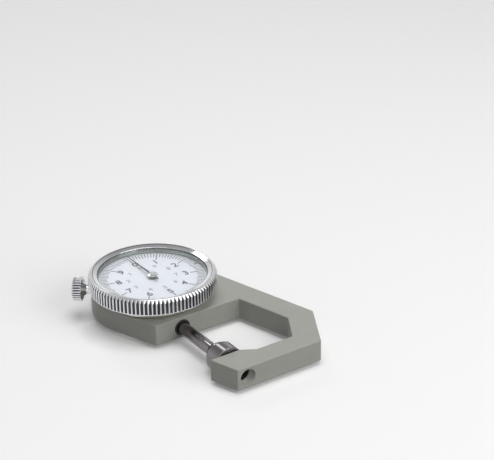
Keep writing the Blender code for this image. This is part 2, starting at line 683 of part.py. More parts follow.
def build_anvil():
    """Make the anvil on the jaw and the screw that holds it from the jaw's outer face."""
    face = CONTACT_Y - CONTACT_GAP
    step = face - ANVIL_FACE_HEIGHT
    foot = SEAT_LEFT.y + STACK_GAP
    chamfer = ANVIL_CHAMFER
    profile = [
        (0, face),
        (ANVIL_FACE_RADIUS - chamfer, face),
        (ANVIL_FACE_RADIUS, face - chamfer),
        (ANVIL_FACE_RADIUS, step),
        (ANVIL_RADIUS - chamfer, step),
        (ANVIL_RADIUS, step - chamfer),
        (ANVIL_RADIUS, foot),
        (0, foot),
    ]
    anvil = turned("anvil", profile)
    thread = rod(
        "thread",
        ANVIL_THREAD_RADIUS + RUN_GAP,
        foot - CUT_OVER,
        foot + ANVIL_THREAD_DEPTH,
        SMALL_FACETS,
    )
    cut(anvil, thread)
    finish(along_spindle(anvil), STEEL, (0, foot, SPINDLE_Z))

    seat = JAW_TIP.y + JAW_BORE_DEPTH - STACK_GAP
    head_end = seat - CAP_HEAD_HEIGHT
    tip = foot + ANVIL_THREAD_DEPTH - STACK_GAP
    screw = turned(
        "anvil_screw",
        [
            (0, tip),
            (ANVIL_THREAD_RADIUS, tip),
            (ANVIL_THREAD_RADIUS, seat),
            (CAP_HEAD_RADIUS, seat),
            (CAP_HEAD_RADIUS, head_end),
            (0, head_end),
        ],
        SMALL_FACETS,
    )
    socket_end = head_end + CAP_SOCKET_DEPTH
    cut(screw, rod("socket", CAP_SOCKET_RADIUS, head_end - CUT_OVER, socket_end, HEX_SIDES))
    finish(along_spindle(screw), DARK_STEEL, (0, seat, SPINDLE_Z))


def build_bushes():
    """Make the two bushes that the spindle slides in."""
    low = BODY_CORNER.y - LOWER_BUSH_PROUD
    lower = tube(
        "lower_bush",
        LOWER_BUSH_RADIUS,
        SPINDLE_RADIUS + RUN_GAP,
        low,
        low + LOWER_BUSH_LENGTH,
    )
    finish(along_spindle(lower), DARK_STEEL, (0, low, SPINDLE_Z))
    bottom = UPPER_BUSH_TOP_Y - UPPER_BUSH_LENGTH
    upper = tube(
        "upper_bush",
        CHANNEL_RADIUS - PRESS_GAP,
        SPINDLE_UPPER_RADIUS + RUN_GAP,
        bottom,
        UPPER_BUSH_TOP_Y,
    )
    finish(along_spindle(upper), BRASS, (0, bottom, SPINDLE_Z))


def ribbed_outline(tip, root, ribs):
    """Return a circle cut into ribs with flat tips and V-shaped grooves."""
    points = []
    for index in range(ribs):
        for share, radius in ((0, root), (RIB_TIP_SHARES[0], tip), (RIB_TIP_SHARES[1], tip)):
            angle = 2 * math.pi * (index + share) / ribs
            points.append(Vector((radius * math.cos(angle), radius * math.sin(angle))))
    return points


def ribbed_knob(name, radius, ribs, low, high):
    """Make a knurled knob on Z: a ribbed band between two plain chamfered ends."""
    inner = radius - KNURL_DEPTH
    core = turned(
        name,
        [
            (0, high),
            (inner - KNOB_CHAMFER, high),
            (inner, high - KNOB_CHAMFER / 2),
            (inner, low + KNOB_CHAMFER / 2),
            (inner - KNOB_CHAMFER, low),
            (0, low),
        ],
    )
    band = prism(
        "band",
        ribbed_outline(radius, inner - KNURL_DEPTH / 2, ribs),
        low + KNOB_CHAMFER,
        high - KNOB_CHAMFER,
    )
    join(core, band)
    return core


def rack_cutter():
    """Return the block that cuts the rack's teeth into the spindle's side, away from the throat."""
    tip = RACK_PITCH_X - ADDENDUM_SHARE * MODULE
    root = RACK_PITCH_X + DEDENDUM_SHARE * MODULE
    lean = math.tan(PRESSURE_ANGLE)
    half = TOOTH_THICKNESS_SHARE * TOOTH_PITCH / 2
    half_tip = half - (RACK_PITCH_X - tip) * lean
    half_root = half + (root - RACK_PITCH_X) * lean
    top_tooth = TRANSFER_Y + RACK_TEETH_ABOVE * TOOTH_PITCH
    outline = [Vector((-SPINDLE_RADIUS - CUT_OVER, top_tooth + TOOTH_PITCH / 2))]
    outline.append(Vector((root, top_tooth + TOOTH_PITCH / 2)))
    for index in range(RACK_TEETH):
        centre = top_tooth - index * TOOTH_PITCH
        outline.append(Vector((root, centre + half_root)))
        outline.append(Vector((tip, centre + half_tip)))
        outline.append(Vector((tip, centre - half_tip)))
        outline.append(Vector((root, centre - half_root)))
    end = top_tooth - (RACK_TEETH - 0.5) * TOOTH_PITCH
    outline.append(Vector((root, end)))
    outline.append(Vector((-SPINDLE_RADIUS - CUT_OVER, end)))
    low = SPINDLE_Z - SPINDLE_RADIUS - CUT_OVER
    return prism("rack", outline, low, SPINDLE_Z + SPINDLE_RADIUS + CUT_OVER)


def build_spindle():
    """Make the spindle with its rack, and the contact, pin, collar and knob that it carries."""
    rod_end = CONTACT_Y + TIP_LENGTH + RUN_GAP
    profile = [
        (0, SPINDLE_TOP_Y),
        (SPINDLE_UPPER_RADIUS, SPINDLE_TOP_Y),
        (SPINDLE_UPPER_RADIUS, SPINDLE_STEP_Y),
        (SPINDLE_RADIUS, SPINDLE_STEP_Y),
        (SPINDLE_RADIUS, rod_end),
        (0, rod_end),
    ]
    spindle = along_spindle(turned("spindle", profile))
    stud_top = rod_end + TIP_STUD_LENGTH
    stud_bore = rod(
        "bore", TIP_STUD_RADIUS + PRESS_GAP, rod_end - CUT_OVER, stud_top, SMALL_FACETS
    )
    cut(spindle, along_spindle(stud_bore))
    cut(spindle, rack_cutter())
    pin_bore = rod(
        "bore",
        GUIDE_PIN_RADIUS + PRESS_GAP,
        GUIDE_PIN_ROOT_X - PRESS_GAP,
        GUIDE_PIN_END_X,
        SMALL_FACETS,
    )
    moved(pin_bore, Matrix.Rotation(math.radians(90), 4, "Y"))
    cut(spindle, shifted(pin_bore, (0, GUIDE_PIN_Y), SPINDLE_Z))
    finish(spindle, STEEL, (0, CONTACT_Y, SPINDLE_Z))

    tip = turned(
        "contact_tip",
        [
            (0, stud_top - PRESS_GAP),
            (TIP_STUD_RADIUS, stud_top - PRESS_GAP),
            (TIP_STUD_RADIUS, rod_end - RUN_GAP),
            (SPINDLE_RADIUS - TIP_CHAMFER, rod_end - RUN_GAP),
            (SPINDLE_RADIUS, rod_end - RUN_GAP - TIP_CHAMFER),
            (SPINDLE_RADIUS, CONTACT_Y + TIP_CHAMFER),
            (SPINDLE_RADIUS - TIP_CHAMFER, CONTACT_Y),
            (0, CONTACT_Y),
        ],
    )
    finish(along_spindle(tip), STEEL, (0, CONTACT_Y, SPINDLE_Z))

    pin = rod("guide_pin", GUIDE_PIN_RADIUS, GUIDE_PIN_ROOT_X, GUIDE_PIN_END_X, SMALL_FACETS)
    moved(pin, Matrix.Rotation(math.radians(90), 4, "Y"))
    shifted(pin, (0, GUIDE_PIN_Y), SPINDLE_Z)
    finish(pin, STEEL, (0, GUIDE_PIN_Y, SPINDLE_Z))

    collar_low = SPINDLE_STEP_Y + STACK_GAP
    collar = tube(
        "spring_collar",
        COLLAR_RADIUS,
        SPINDLE_UPPER_RADIUS + PRESS_GAP,
        collar_low,
        collar_low + COLLAR_HEIGHT,
        SMALL_FACETS,
    )
    finish(along_spindle(collar), BRASS, (0, collar_low, SPINDLE_Z))

    knob_top = LIFT_KNOB_Y + LIFT_KNOB_LENGTH
    knob = ribbed_knob("lift_knob", LIFT_KNOB_RADIUS, LIFT_KNOB_RIBS, LIFT_KNOB_Y, knob_top)
    cut(
        knob,
        rod(
            "bore",
            SPINDLE_UPPER_RADIUS + PRESS_GAP,
            LIFT_KNOB_Y - CUT_OVER,
            SPINDLE_TOP_Y + PRESS_GAP,
            SMALL_FACETS,
        ),
    )
    finish(along_spindle(knob), CHROME, (0, LIFT_KNOB_Y, SPINDLE_Z))


def wire(name, points, radius, sides, material):
    """Draw a round wire through points, with its ends closed."""
    curve = bpy.data.curves.new(name, "CURVE")
    curve.dimensions = "3D"
    curve.bevel_depth = radius
    curve.bevel_resolution = sides
    curve.use_fill_caps = True
    spline = curve.splines.new("POLY")
    spline.points.add(len(points) - 1)
    for slot, point in zip(spline.points, points):
        slot.co = (*point, 1)
    obj = bpy.data.objects.new(name, curve)
    PARTS.objects.link(obj)
    return finish(apply_modifiers(obj), material)


def build_return_spring():
    """Coil the spring that presses the spindle down, between its collar and the upper bush."""
    low = SPINDLE_STEP_Y + 2 * STACK_GAP + COLLAR_HEIGHT + SPRING_WIRE_RADIUS
    high = UPPER_BUSH_TOP_Y - UPPER_BUSH_LENGTH - STACK_GAP - SPRING_WIRE_RADIUS
    count = SPRING_POINTS_PER_TURN * SPRING_TURNS
    points = []
    for index in range(count + 1):
        angle = 2 * math.pi * SPRING_TURNS * index / count
        x = SPRING_RADIUS * math.cos(angle)
        z = SPINDLE_Z + SPRING_RADIUS * math.sin(angle)
        points.append((x, low + (high - low) * index / count, z))
    wire("return_spring", points, SPRING_WIRE_RADIUS, 1, STEEL)


def involute_angle(radius, base):
    """Return how far an involute has turned from its base circle when it reaches a radius."""
    if radius <= base:
        return 0
    lean = math.acos(base / radius)
    return math.tan(lean) - lean


def gear_outline(teeth, phase):
    """Return a gear's outline about the origin, with one tooth centred on an angle."""
    pitch = teeth * MODULE / 2
    base = pitch * math.cos(PRESSURE_ANGLE)
    tip = pitch + ADDENDUM_SHARE * MODULE
    root = pitch - DEDENDUM_SHARE * MODULE
    half = math.pi * TOOTH_THICKNESS_SHARE / teeth
    flank = [
        (radius, half + involute_angle(pitch, base) - involute_angle(radius, base))
        for radius in (root, pitch, tip)
    ]
    points = []
    for index in range(teeth):
        centre = phase + 2 * math.pi * index / teeth
        sides = [(r, centre - turn) for r, turn in flank]
        sides += [(r, centre + turn) for r, turn in reversed(flank)]
        points += [Vector((r * math.cos(a), r * math.sin(a))) for r, a in sides]
    return points


def meshing_phase(phase, radius, other_radius, direction):
    """Return the phase that a second gear needs to mesh with a first one.

    direction points from the first gear's axis to the second one's, and phase is the angle
    of a tooth on the first gear.
    """
    along_pitch_line = (phase - direction) * radius + TOOTH_PITCH / 2
    return direction + math.pi - along_pitch_line / other_radius


def gear(name, teeth, phase, low, high, place, material):
    """Make a gear on its arbor's axis."""
    body = prism(name, gear_outline(teeth, phase), low, high)
    bore = ARBOR_RADIUS + PRESS_GAP
    cut(body, rod("bore", bore, low - CUT_OVER, high + CUT_OVER, SMALL_FACETS))
    shifted(body, place)
    return finish(body, material, (*place, low))


def arbor(name, low, high, place):
    """Make an arbor between two heights."""
    pin = shifted(rod(name, ARBOR_RADIUS, low, high, SMALL_FACETS), place)
    return finish(pin, STEEL, (*place, low))


def build_gear_train():
    """Make the train from the rack to the pointer, and the gear that takes up its backlash."""
    gear_top = GEAR_BOTTOM + GEAR_THICKNESS
    arbor_top = BRIDGE_TOP - PRESS_GAP
    plate_floor = PLATE_BOTTOM + STACK_GAP
    centre = Vector((0, 0))

    pinion_low = SPINDLE_Z - PINION_FACE / 2
    half_pitch = math.pi / PINION_TEETH
    pinion_phase = half_pitch
    arbor("transfer_arbor", pinion_low - STACK_GAP, arbor_top, TRANSFER_PLACE)
    gear(
        "rack_pinion",
        PINION_TEETH,
        pinion_phase,
        pinion_low,
        pinion_low + PINION_FACE,
        TRANSFER_PLACE,
        STEEL,
    )
    to_centre = math.atan2(-TRANSFER_Y, -TRANSFER_X)
    gear(
        "transfer_gear", GEAR_TEETH, to_centre, GEAR_BOTTOM, gear_top, TRANSFER_PLACE, BRASS
    )

    centre_phase = meshing_phase(to_centre, GEAR_PITCH_RADIUS, GEAR_PITCH_RADIUS, to_centre)
    arbor("centre_arbor", plate_floor, HUB_TOP - PRESS_GAP, centre)
    gear("centre_gear", GEAR_TEETH, centre_phase, GEAR_BOTTOM, gear_top, centre, BRASS)

    takeup_phase = meshing_phase(
        centre_phase, GEAR_PITCH_RADIUS, GEAR_PITCH_RADIUS, TAKEUP_ANGLE
    )
    arbor("takeup_arbor", plate_floor, arbor_top, TAKEUP_PLACE)
    gear(
        "takeup_gear", GEAR_TEETH, takeup_phase, GEAR_BOTTOM, gear_top, TAKEUP_PLACE, BRASS
    )


def build_plate():
    """Make the plate that carries the movement, across the frame's cavity."""
    low, high = PLATE_BOTTOM - CUT_OVER, FRAME_TOP + CUT_OVER
    plate = rod("main_plate", PLATE_RADIUS, PLATE_BOTTOM, FRAME_TOP, INNER_FACETS)
    for degrees in CASE_SCREW_ANGLES:
        screw_hole(plate, on_circle(CASE_SCREW_CIRCLE, degrees), low, high)
    for degrees in PILLAR_ANGLES:
        place = on_circle(PILLAR_CIRCLE, degrees)
        screw_hole(plate, place, low, high, PILLAR_FOOT_RADIUS)
    screw_hole(plate, TRANSFER_PLACE, low, high, ARBOR_RADIUS)
    blind = PLATE_BOTTOM + STACK_GAP - RUN_GAP
    screw_hole(plate, (0, 0), blind, high, ARBOR_RADIUS)
    screw_hole(plate, TAKEUP_PLACE, blind, high, ARBOR_RADIUS)
    seat = GUIDE_SCREW_SEAT
    middle = (GUIDE_BLOCK_NEAR_X + GUIDE_BLOCK_FAR_X) / 2
    for index, y in enumerate(GUIDE_SCREW_YS, start=1):
        screw_hole(plate, (middle, y), low, high, TINY_SHANK_RADIUS)
        screw_hole(plate, (middle, y), seat - RUN_GAP, high, TINY_HEAD_RADIUS)
        tiny_screw(f"guide_screw_{index}", (middle, y), seat)
    finish(plate, BRASS)


def build_guide_block():
    """Make the slotted block under the plate that keeps the spindle from turning."""
    top = PLATE_BOTTOM - STACK_GAP
    block = box(
        "guide_block",
        (GUIDE_BLOCK_NEAR_X, GUIDE_BLOCK_LOW_Y, SPINDLE_Z - GUIDE_BLOCK_DEPTH),
        (GUIDE_BLOCK_FAR_X, GUIDE_BLOCK_HIGH_Y, top),
    )
    half = GUIDE_PIN_RADIUS + RUN_GAP
    low_y = GUIDE_PIN_Y - half
    high_y = GUIDE_PIN_Y + TRAVEL + half
    slot = box(
        "slot",
        (GUIDE_BLOCK_NEAR_X - CUT_OVER, low_y, SPINDLE_Z - half),
        (GUIDE_BLOCK_FAR_X + CUT_OVER, high_y, SPINDLE_Z + half),
    )
    cut(block, slot)
    middle = (GUIDE_BLOCK_NEAR_X + GUIDE_BLOCK_FAR_X) / 2
    for y in GUIDE_SCREW_YS:
        end = GUIDE_SCREW_END - RUN_GAP
        screw_hole(block, (middle, y), end, top + CUT_OVER, TINY_SHANK_RADIUS)
    finish(block, BRASS, (0, 0, SPINDLE_Z), smooth=False)


def build_pillars_and_bridge():
    """Make the pillars, the bridge that they carry and the bridge's screws."""
    pillar_top = PILLAR_BOTTOM + PILLAR_HEIGHT
    foot = FRAME_TOP - PILLAR_FOOT_LENGTH
    low, high = BRIDGE_BOTTOM - CUT_OVER, BRIDGE_TOP + CUT_OVER
    bridge = rod("top_bridge", BRIDGE_RADIUS, BRIDGE_BOTTOM, BRIDGE_TOP, ROUND_FACETS)
    seat = BRIDGE_TOP + RUN_GAP
    for index, degrees in enumerate(PILLAR_ANGLES, start=1):
        place = on_circle(PILLAR_CIRCLE, degrees)
        pillar = turned(
            f"pillar_{index}",
            [
                (0, pillar_top),
                (PILLAR_RADIUS, pillar_top),
                (PILLAR_RADIUS, PILLAR_BOTTOM),
                (PILLAR_FOOT_RADIUS, PILLAR_BOTTOM),
                (PILLAR_FOOT_RADIUS, foot),
                (0, foot),
            ],
            SMALL_FACETS,
        )
        drill_end = seat - TINY_SHANK_LENGTH - RUN_GAP
        screw_hole(pillar, (0, 0), drill_end, pillar_top + CUT_OVER, TINY_SHANK_RADIUS)
        shifted(pillar, place)
        finish(pillar, BRASS, (*place, PILLAR_BOTTOM))
        screw_hole(bridge, place, low, high, TINY_SHANK_RADIUS)
        tiny_screw(f"bridge_screw_{index}", place, seat)
    for place in ((0, 0), TRANSFER_PLACE, TAKEUP_PLACE):
        screw_hole(bridge, place, low, high, ARBOR_RADIUS)
    screw_hole(bridge, STUD_PLACE, low, high, STUD_RADIUS)
    finish(bridge, BRASS)


def build_hairspring():
    """Wind the flat spring that loads the take-up gear, with its collet and its stud."""
    low = GEAR_BOTTOM + GEAR_THICKNESS + HAIRSPRING_LIFT
    high = low + HAIRSPRING_HEIGHT
    count = HAIRSPRING_POINTS_PER_TURN * HAIRSPRING_TURNS
    rows = []
    for index in range(count + 1):
        share = index / count
        angle = 2 * math.pi * HAIRSPRING_TURNS * share
        middle = HAIRSPRING_INNER + (HAIRSPRING_OUTER - HAIRSPRING_INNER) * share
        for radius in (middle - HAIRSPRING_STRIP, middle):
            rows.append(Vector((radius * math.cos(angle), radius * math.sin(angle))))
    inside, outside = rows[0::2], rows[1::2]
    strip = prism("hairspring", outside + list(reversed(inside)), low, high)
    shifted(strip, TAKEUP_PLACE)
    finish(strip, BLUED, (*TAKEUP_PLACE, low))

    stud = rod("hairspring_stud", STUD_RADIUS, low, BRIDGE_TOP, SMALL_FACETS)
    finish(shifted(stud, STUD_PLACE), STEEL, (*STUD_PLACE, low))

    foot = low + (HAIRSPRING_HEIGHT - COLLET_HEIGHT) / 2
    collet = tube(
        "hairspring_collet",
        COLLET_RADIUS,
        ARBOR_RADIUS + PRESS_GAP,
        foot,
        foot + COLLET_HEIGHT,
        SMALL_FACETS,
    )
    finish(shifted(collet, TAKEUP_PLACE), BRASS, (*TAKEUP_PLACE, foot))


def build_dial_case():
    """Make the cup that carries the dial and the bezel, and the screws that hold it down."""
    floor_top = CASE_BOTTOM + CASE_FLOOR_THICKNESS
    groove = CASE_FLANGE_RADIUS - WIRE_GROOVE_DEPTH
    half = WIRE_GROOVE_WIDTH / 2
    profile = [
        (CASE_FLANGE_RADIUS, FLANGE_TOP),
        (CASE_FLANGE_RADIUS, WIRE_Z + half),
        (groove, WIRE_Z + half),
        (groove, WIRE_Z - half),
        (CASE_FLANGE_RADIUS, WIRE_Z - half),
        (CASE_FLANGE_RADIUS, FLANGE_BOTTOM),
        (CASE_NECK_OUTER, FLANGE_BOTTOM),
        (CASE_NECK_OUTER, CASE_BOTTOM),
        (CASE_FLOOR_INNER, CASE_BOTTOM),
        (CASE_FLOOR_INNER, floor_top),
        (CASE_NECK_INNER, floor_top),
        (CASE_NECK_INNER, FLANGE_TOP),
    ]
    case = turned("dial_case", profile, INNER_FACETS)
    for index, degrees in enumerate(CASE_SCREW_ANGLES, start=1):
        place = on_circle(CASE_SCREW_CIRCLE, degrees)
        screw_hole(case, place, CASE_BOTTOM - CUT_OVER, floor_top + CUT_OVER)
        small_screw(f"case_screw_{index}", place, floor_top + RUN_GAP, CASE_SCREW_LENGTH)
    bush_hole = rod(
        "bore",
        CLAMP_BUSH_RADIUS + PRESS_GAP,
        CASE_NECK_INNER - CUT_OVER,
        CASE_NECK_OUTER + CUT_OVER,
        SMALL_FACETS,
    )
    cut(case, along_clamp(bush_hole))
    finish(case, NICKEL)


def build_bezel():
    """Make the fluted bezel and the wire ring that keeps it on the dial case."""
    half = WIRE_GROOVE_WIDTH / 2
    groove = BEZEL_BORE + WIRE_GROOVE_DEPTH
    profile = [
        (RIM_CREST_RADIUS, RIM_TOP),
        ((RIM_CREST_RADIUS + RIM_RADIUS) / 2, RIM_TOP - RIM_SHOULDER * RIM_ROUND_SHARE),
        (RIM_RADIUS, RIM_TOP - RIM_SHOULDER),
        (RIM_RADIUS, BEZEL_BOTTOM + FOOT_HEIGHT),
        (FOOT_RADIUS, BEZEL_BOTTOM + FOOT_HEIGHT),
        (FOOT_RADIUS, BEZEL_BOTTOM),
        (BEZEL_BORE, BEZEL_BOTTOM),
        (BEZEL_BORE, WIRE_Z - half),
        (groove, WIRE_Z - half),
        (groove, WIRE_Z + half),
        (BEZEL_BORE, WIRE_Z + half),
        (BEZEL_BORE, LEDGE_BOTTOM),
        (LEDGE_INNER, LEDGE_BOTTOM),
        (LEDGE_INNER, LEDGE_TOP),
        (DIAL_SEAT_RADIUS, LEDGE_TOP),
        (DIAL_SEAT_RADIUS, LIP_BOTTOM),
        (LIP_INNER, LIP_BOTTOM),
        (LIP_INNER, LIP_TOP),
    ]
    bezel = turned("bezel", profile, RIM_FACETS)
    band = prism(
        "band",
        ribbed_outline(FLUTE_TIP_RADIUS, FLUTE_ROOT_RADIUS, FLUTES),
        BEZEL_BOTTOM + FLUTE_BAND_INSET,
        RIM_TOP - FLUTE_BAND_TOP,
    )
    inner = (RIM_RADIUS + BEZEL_BORE) / 2
    below, above = BEZEL_BOTTOM - CUT_OVER, RIM_TOP + CUT_OVER
    cut(band, rod("bore", inner, below, above, RIM_FACETS))
    join(bezel, band)
    finish(bezel, CHROME, (0, 0, BEZEL_BOTTOM))

    radius = (CASE_FLANGE_RADIUS + BEZEL_BORE) / 2
    start, end = WIRE_OPENING / 2, 2 * math.pi - WIRE_OPENING / 2
    points = []
    for index in range(INNER_FACETS + 1):
        angle = start + (end - start) * index / INNER_FACETS
        points.append((radius * math.cos(angle), radius * math.sin(angle), WIRE_Z))
    wire("bezel_wire", points, WIRE_RADIUS, 0, STEEL)


def build_dial():
    """Make the dial plate, the crystal and the ring between them."""
    dial = tube(
        "dial_plate", DIAL_RADIUS, DIAL_HOLE_RADIUS, DIAL_BOTTOM, DIAL_TOP, INNER_FACETS
    )
    finish(dial, DIAL_WHITE, (0, 0, DIAL_BOTTOM))
    ring_low, ring_high = DIAL_TOP + DIAL_GAP, CRYSTAL_BOTTOM - DIAL_GAP
    ring = tube(
        "crystal_ring", DIAL_RADIUS, CRYSTAL_RING_INNER, ring_low, ring_high, INNER_FACETS
    )
    finish(ring, NICKEL, (0, 0, ring_low))
    crystal = rod("crystal", DIAL_RADIUS, CRYSTAL_BOTTOM, CRYSTAL_TOP, INNER_FACETS)
    finish(crystal, CLEAR, (0, 0, CRYSTAL_BOTTOM))


def build_pointer():
    """Make the pointer, standing at zero, and the cap on its hub."""
    hand_low = HUB_TOP - HAND_THICKNESS
    root, tip = HAND_ROOT_WIDTH / 2, HAND_TIP_WIDTH / 2
    right_side = [(tip, -HAND_TAIL), (root, 0), (tip, HAND_LENGTH)]
    left_side = [(-x, y) for x, y in reversed(right_side)]
    hand = prism("hand", right_side + left_side, hand_low, HUB_TOP + PRESS_GAP)
    pointer = rod("pointer", HUB_RADIUS, HUB_BOTTOM, HUB_TOP, ROUND_FACETS)
    join(pointer, hand)
    bore = ARBOR_RADIUS + PRESS_GAP
    cut(pointer, rod("bore", bore, HUB_BOTTOM - CUT_OVER, HUB_TOP + CUT_OVER, SMALL_FACETS))
    finish(pointer, BLUED, (0, 0, HUB_BOTTOM))

    low = HUB_CAP_BOTTOM
    cap = turned(
        "hub_cap",
        [
            (0, HUB_CAP_TOP),
            (HUB_CAP_RADIUS / 2, low + HUB_CAP_HEIGHT * CAP_CROWN_SHARE),
            (HUB_CAP_RADIUS, low + HUB_CAP_HEIGHT * CAP_WALL_SHARE),
            (HUB_CAP_RADIUS, low),
            (0, low),
        ],
        ROUND_FACETS,
    )
    finish(cap, CHROME, (0, 0, low))


def build_clamp():
    """Make the knurled screw that locks the bezel, and the threaded bush in the dial case."""
    low = CLAMP_TIP_AT - PRESS_GAP
    bush = tube(
        "clamp_bush",
        CLAMP_BUSH_RADIUS,
        CLAMP_THREAD_RADIUS + RUN_GAP,
        low,
        CLAMP_THREAD_AT - RUN_GAP,
        SMALL_FACETS,
    )
    finish(along_clamp(bush), BRASS)

    knob_end = CLAMP_KNOB_AT + CLAMP_KNOB_LENGTH
    knob = ribbed_knob(
        "clamp_screw", CLAMP_KNOB_RADIUS, CLAMP_KNOB_RIBS, CLAMP_KNOB_AT, knob_end
    )
    middle = CLAMP_KNOB_AT + CLAMP_KNOB_LENGTH / 2
    stem = turned(
        "stem",
        [
            (0, middle),
            (CLAMP_CONE_RADIUS, middle),
            (CLAMP_CONE_RADIUS, CLAMP_KNOB_AT),
            (CLAMP_STEM_RADIUS, CLAMP_KNOB_AT - CLAMP_CONE_LENGTH),
            (CLAMP_STEM_RADIUS, CLAMP_THREAD_AT),
            (CLAMP_THREAD_RADIUS, CLAMP_THREAD_AT),
            (CLAMP_THREAD_RADIUS, CLAMP_TIP_AT),
            (0, CLAMP_TIP_AT),
        ],
        SMALL_FACETS,
    )
    join(knob, stem)
    outward = Vector((math.cos(CLAMP_ANGLE), math.sin(CLAMP_ANGLE)))
    place = CLAMP_KNOB_AT * outward
    finish(along_clamp(knob), CHROME, (place.x, place.y, CLAMP_Z))


def build_gauge():
    """Make every piece of the gauge."""
    build_frame()
    build_back_cover()
    build_anvil()
    build_bushes()
    build_spindle()
    build_return_spring()
    build_plate()
    build_guide_block()
    build_gear_train()
    build_pillars_and_bridge()
    build_hairspring()
    build_dial_case()
    build_bezel()
    build_dial()
    build_pointer()
    build_clamp()


build_gauge()
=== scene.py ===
"""Looks of a dial thickness gauge: enamelled C-frame, fluted chrome bezel, printed dial.

Every length is in metres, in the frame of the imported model: the dial's axis is Z, the
spindle runs along Y with the anvil at its lower end, and the gauge lies at Z = 0.
"""

import json
import logging
import math
from collections.abc import Callable, Iterable
from dataclasses import dataclass
from enum import Enum

import bmesh
import bpy
from mathutils import Matrix, Vector

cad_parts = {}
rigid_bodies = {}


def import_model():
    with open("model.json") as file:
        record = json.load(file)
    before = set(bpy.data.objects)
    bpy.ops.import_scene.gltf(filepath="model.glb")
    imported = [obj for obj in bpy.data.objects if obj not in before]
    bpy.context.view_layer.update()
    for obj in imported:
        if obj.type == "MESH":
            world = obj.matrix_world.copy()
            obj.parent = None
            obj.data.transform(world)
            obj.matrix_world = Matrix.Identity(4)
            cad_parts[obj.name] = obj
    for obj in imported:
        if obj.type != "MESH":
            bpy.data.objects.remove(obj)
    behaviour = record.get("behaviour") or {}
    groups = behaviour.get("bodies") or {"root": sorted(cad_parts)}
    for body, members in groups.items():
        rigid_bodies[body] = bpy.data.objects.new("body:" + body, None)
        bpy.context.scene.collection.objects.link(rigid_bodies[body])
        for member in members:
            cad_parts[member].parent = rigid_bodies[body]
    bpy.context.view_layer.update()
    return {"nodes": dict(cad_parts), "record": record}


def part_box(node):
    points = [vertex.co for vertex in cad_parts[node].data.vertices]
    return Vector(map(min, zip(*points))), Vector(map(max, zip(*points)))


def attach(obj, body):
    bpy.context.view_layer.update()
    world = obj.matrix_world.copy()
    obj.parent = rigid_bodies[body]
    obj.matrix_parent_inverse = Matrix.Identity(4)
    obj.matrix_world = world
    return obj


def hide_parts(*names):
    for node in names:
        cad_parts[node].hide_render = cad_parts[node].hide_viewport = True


LOG = logging.getLogger("thickness_gauge")
MM = 0.001
SHARP_DEGREES = 35
FRAME_SHARP_DEGREES = 50

Socket = bpy.types.NodeSocket
Tree = bpy.types.NodeTree
Profile = list[tuple[float, float]]


def linear(code: str) -> tuple[float, float, float, float]:
    """Turn an sRGB hex value into a linear colour.

    Args:
        code: six hex digits after a hash.

    Returns:
        Red, green, blue and an alpha of one.
    """

    def channel(value: float) -> float:
        """Undo the sRGB curve for one channel."""
        return value / 12.92 if value <= 0.04045 else ((value + 0.055) / 1.055) ** 2.4

    parts = [int(code[start : start + 2], 16) / 255 for start in (1, 3, 5)]
    red, green, blue = (channel(part) for part in parts)
    return red, green, blue, 1.0


def add_node(tree: Tree, kind: str, inputs: dict | None = None, **settings) -> bpy.types.Node:
    """Add a node with its settings and links.

    Args:
        tree: the node tree that it joins.
        kind: Blender's name of the node type.
        inputs: values or sockets, by the name or number of the input they go to.
        settings: the node's own properties.

    Returns:
        The new node.
    """
    node = tree.nodes.new(kind)
    for name, value in settings.items():
        setattr(node, name, value)
    for name, value in (inputs or {}).items():
        if isinstance(value, Socket):
            tree.links.new(value, node.inputs[name])
        else:
            node.inputs[name].default_value = value
    return node


def calc(tree: Tree, operation: str, *values: Socket | float) -> Socket:
    """Add a Math node.

    Args:
        tree: the node tree that it joins.
        operation: Blender's name of the sum.
        values: its inputs, in order.

    Returns:
        The result's socket.
    """
    node = add_node(tree, "ShaderNodeMath", dict(enumerate(values)), operation=operation)
    return node.outputs[0]


def vector(
    tree: Tree, x: Socket | float = 0.0, y: Socket | float = 0.0, z: Socket | float = 0.0
) -> Socket:
    """Join three parts into a vector.

    Args:
        tree: the node tree that it joins.
        x: the first part.
        y: the second part.
        z: the third part.

    Returns:
        The vector's socket.
    """
    return add_node(tree, "ShaderNodeCombineXYZ", {0: x, 1: y, 2: z}).outputs[0]


def blank_material(name: str) -> tuple[bpy.types.Material, Tree]:
    """Make a material with an empty node tree.

    Args:
        name: the material's name.

    Returns:
        The material and its tree.
    """
    material = bpy.data.materials.new(name)
    material.use_nodes = True
    material.node_tree.nodes.clear()
    return material, material.node_tree


def blend_colours(tree: Tree, share: Socket, first: str, second: str) -> Socket:
    """Mix two hex colours by a share.

    Args:
        tree: the material's tree.
        share: a socket from zero to one.
        first: the colour at zero.
        second: the colour at one.

    Returns:
        The mixed colour's socket.
    """
    mix = add_node(tree, "ShaderNodeMix", {0: share}, data_type="RGBA")
    mix.inputs[6].default_value = linear(first)
    mix.inputs[7].default_value = linear(second)
    return mix.outputs[2]


def spread(tree: Tree, value: Socket, low: float, high: float) -> Socket:
    """Map zero to one onto a range.

    Args:
        tree: the material's tree.
        value: the socket to map.
        low: what zero becomes.
        high: what one becomes.

    Returns:
        The mapped socket.
    """
    mapped = add_node(tree, "ShaderNodeMapRange", {0: value, 3: low, 4: high})
    return mapped.outputs[0]


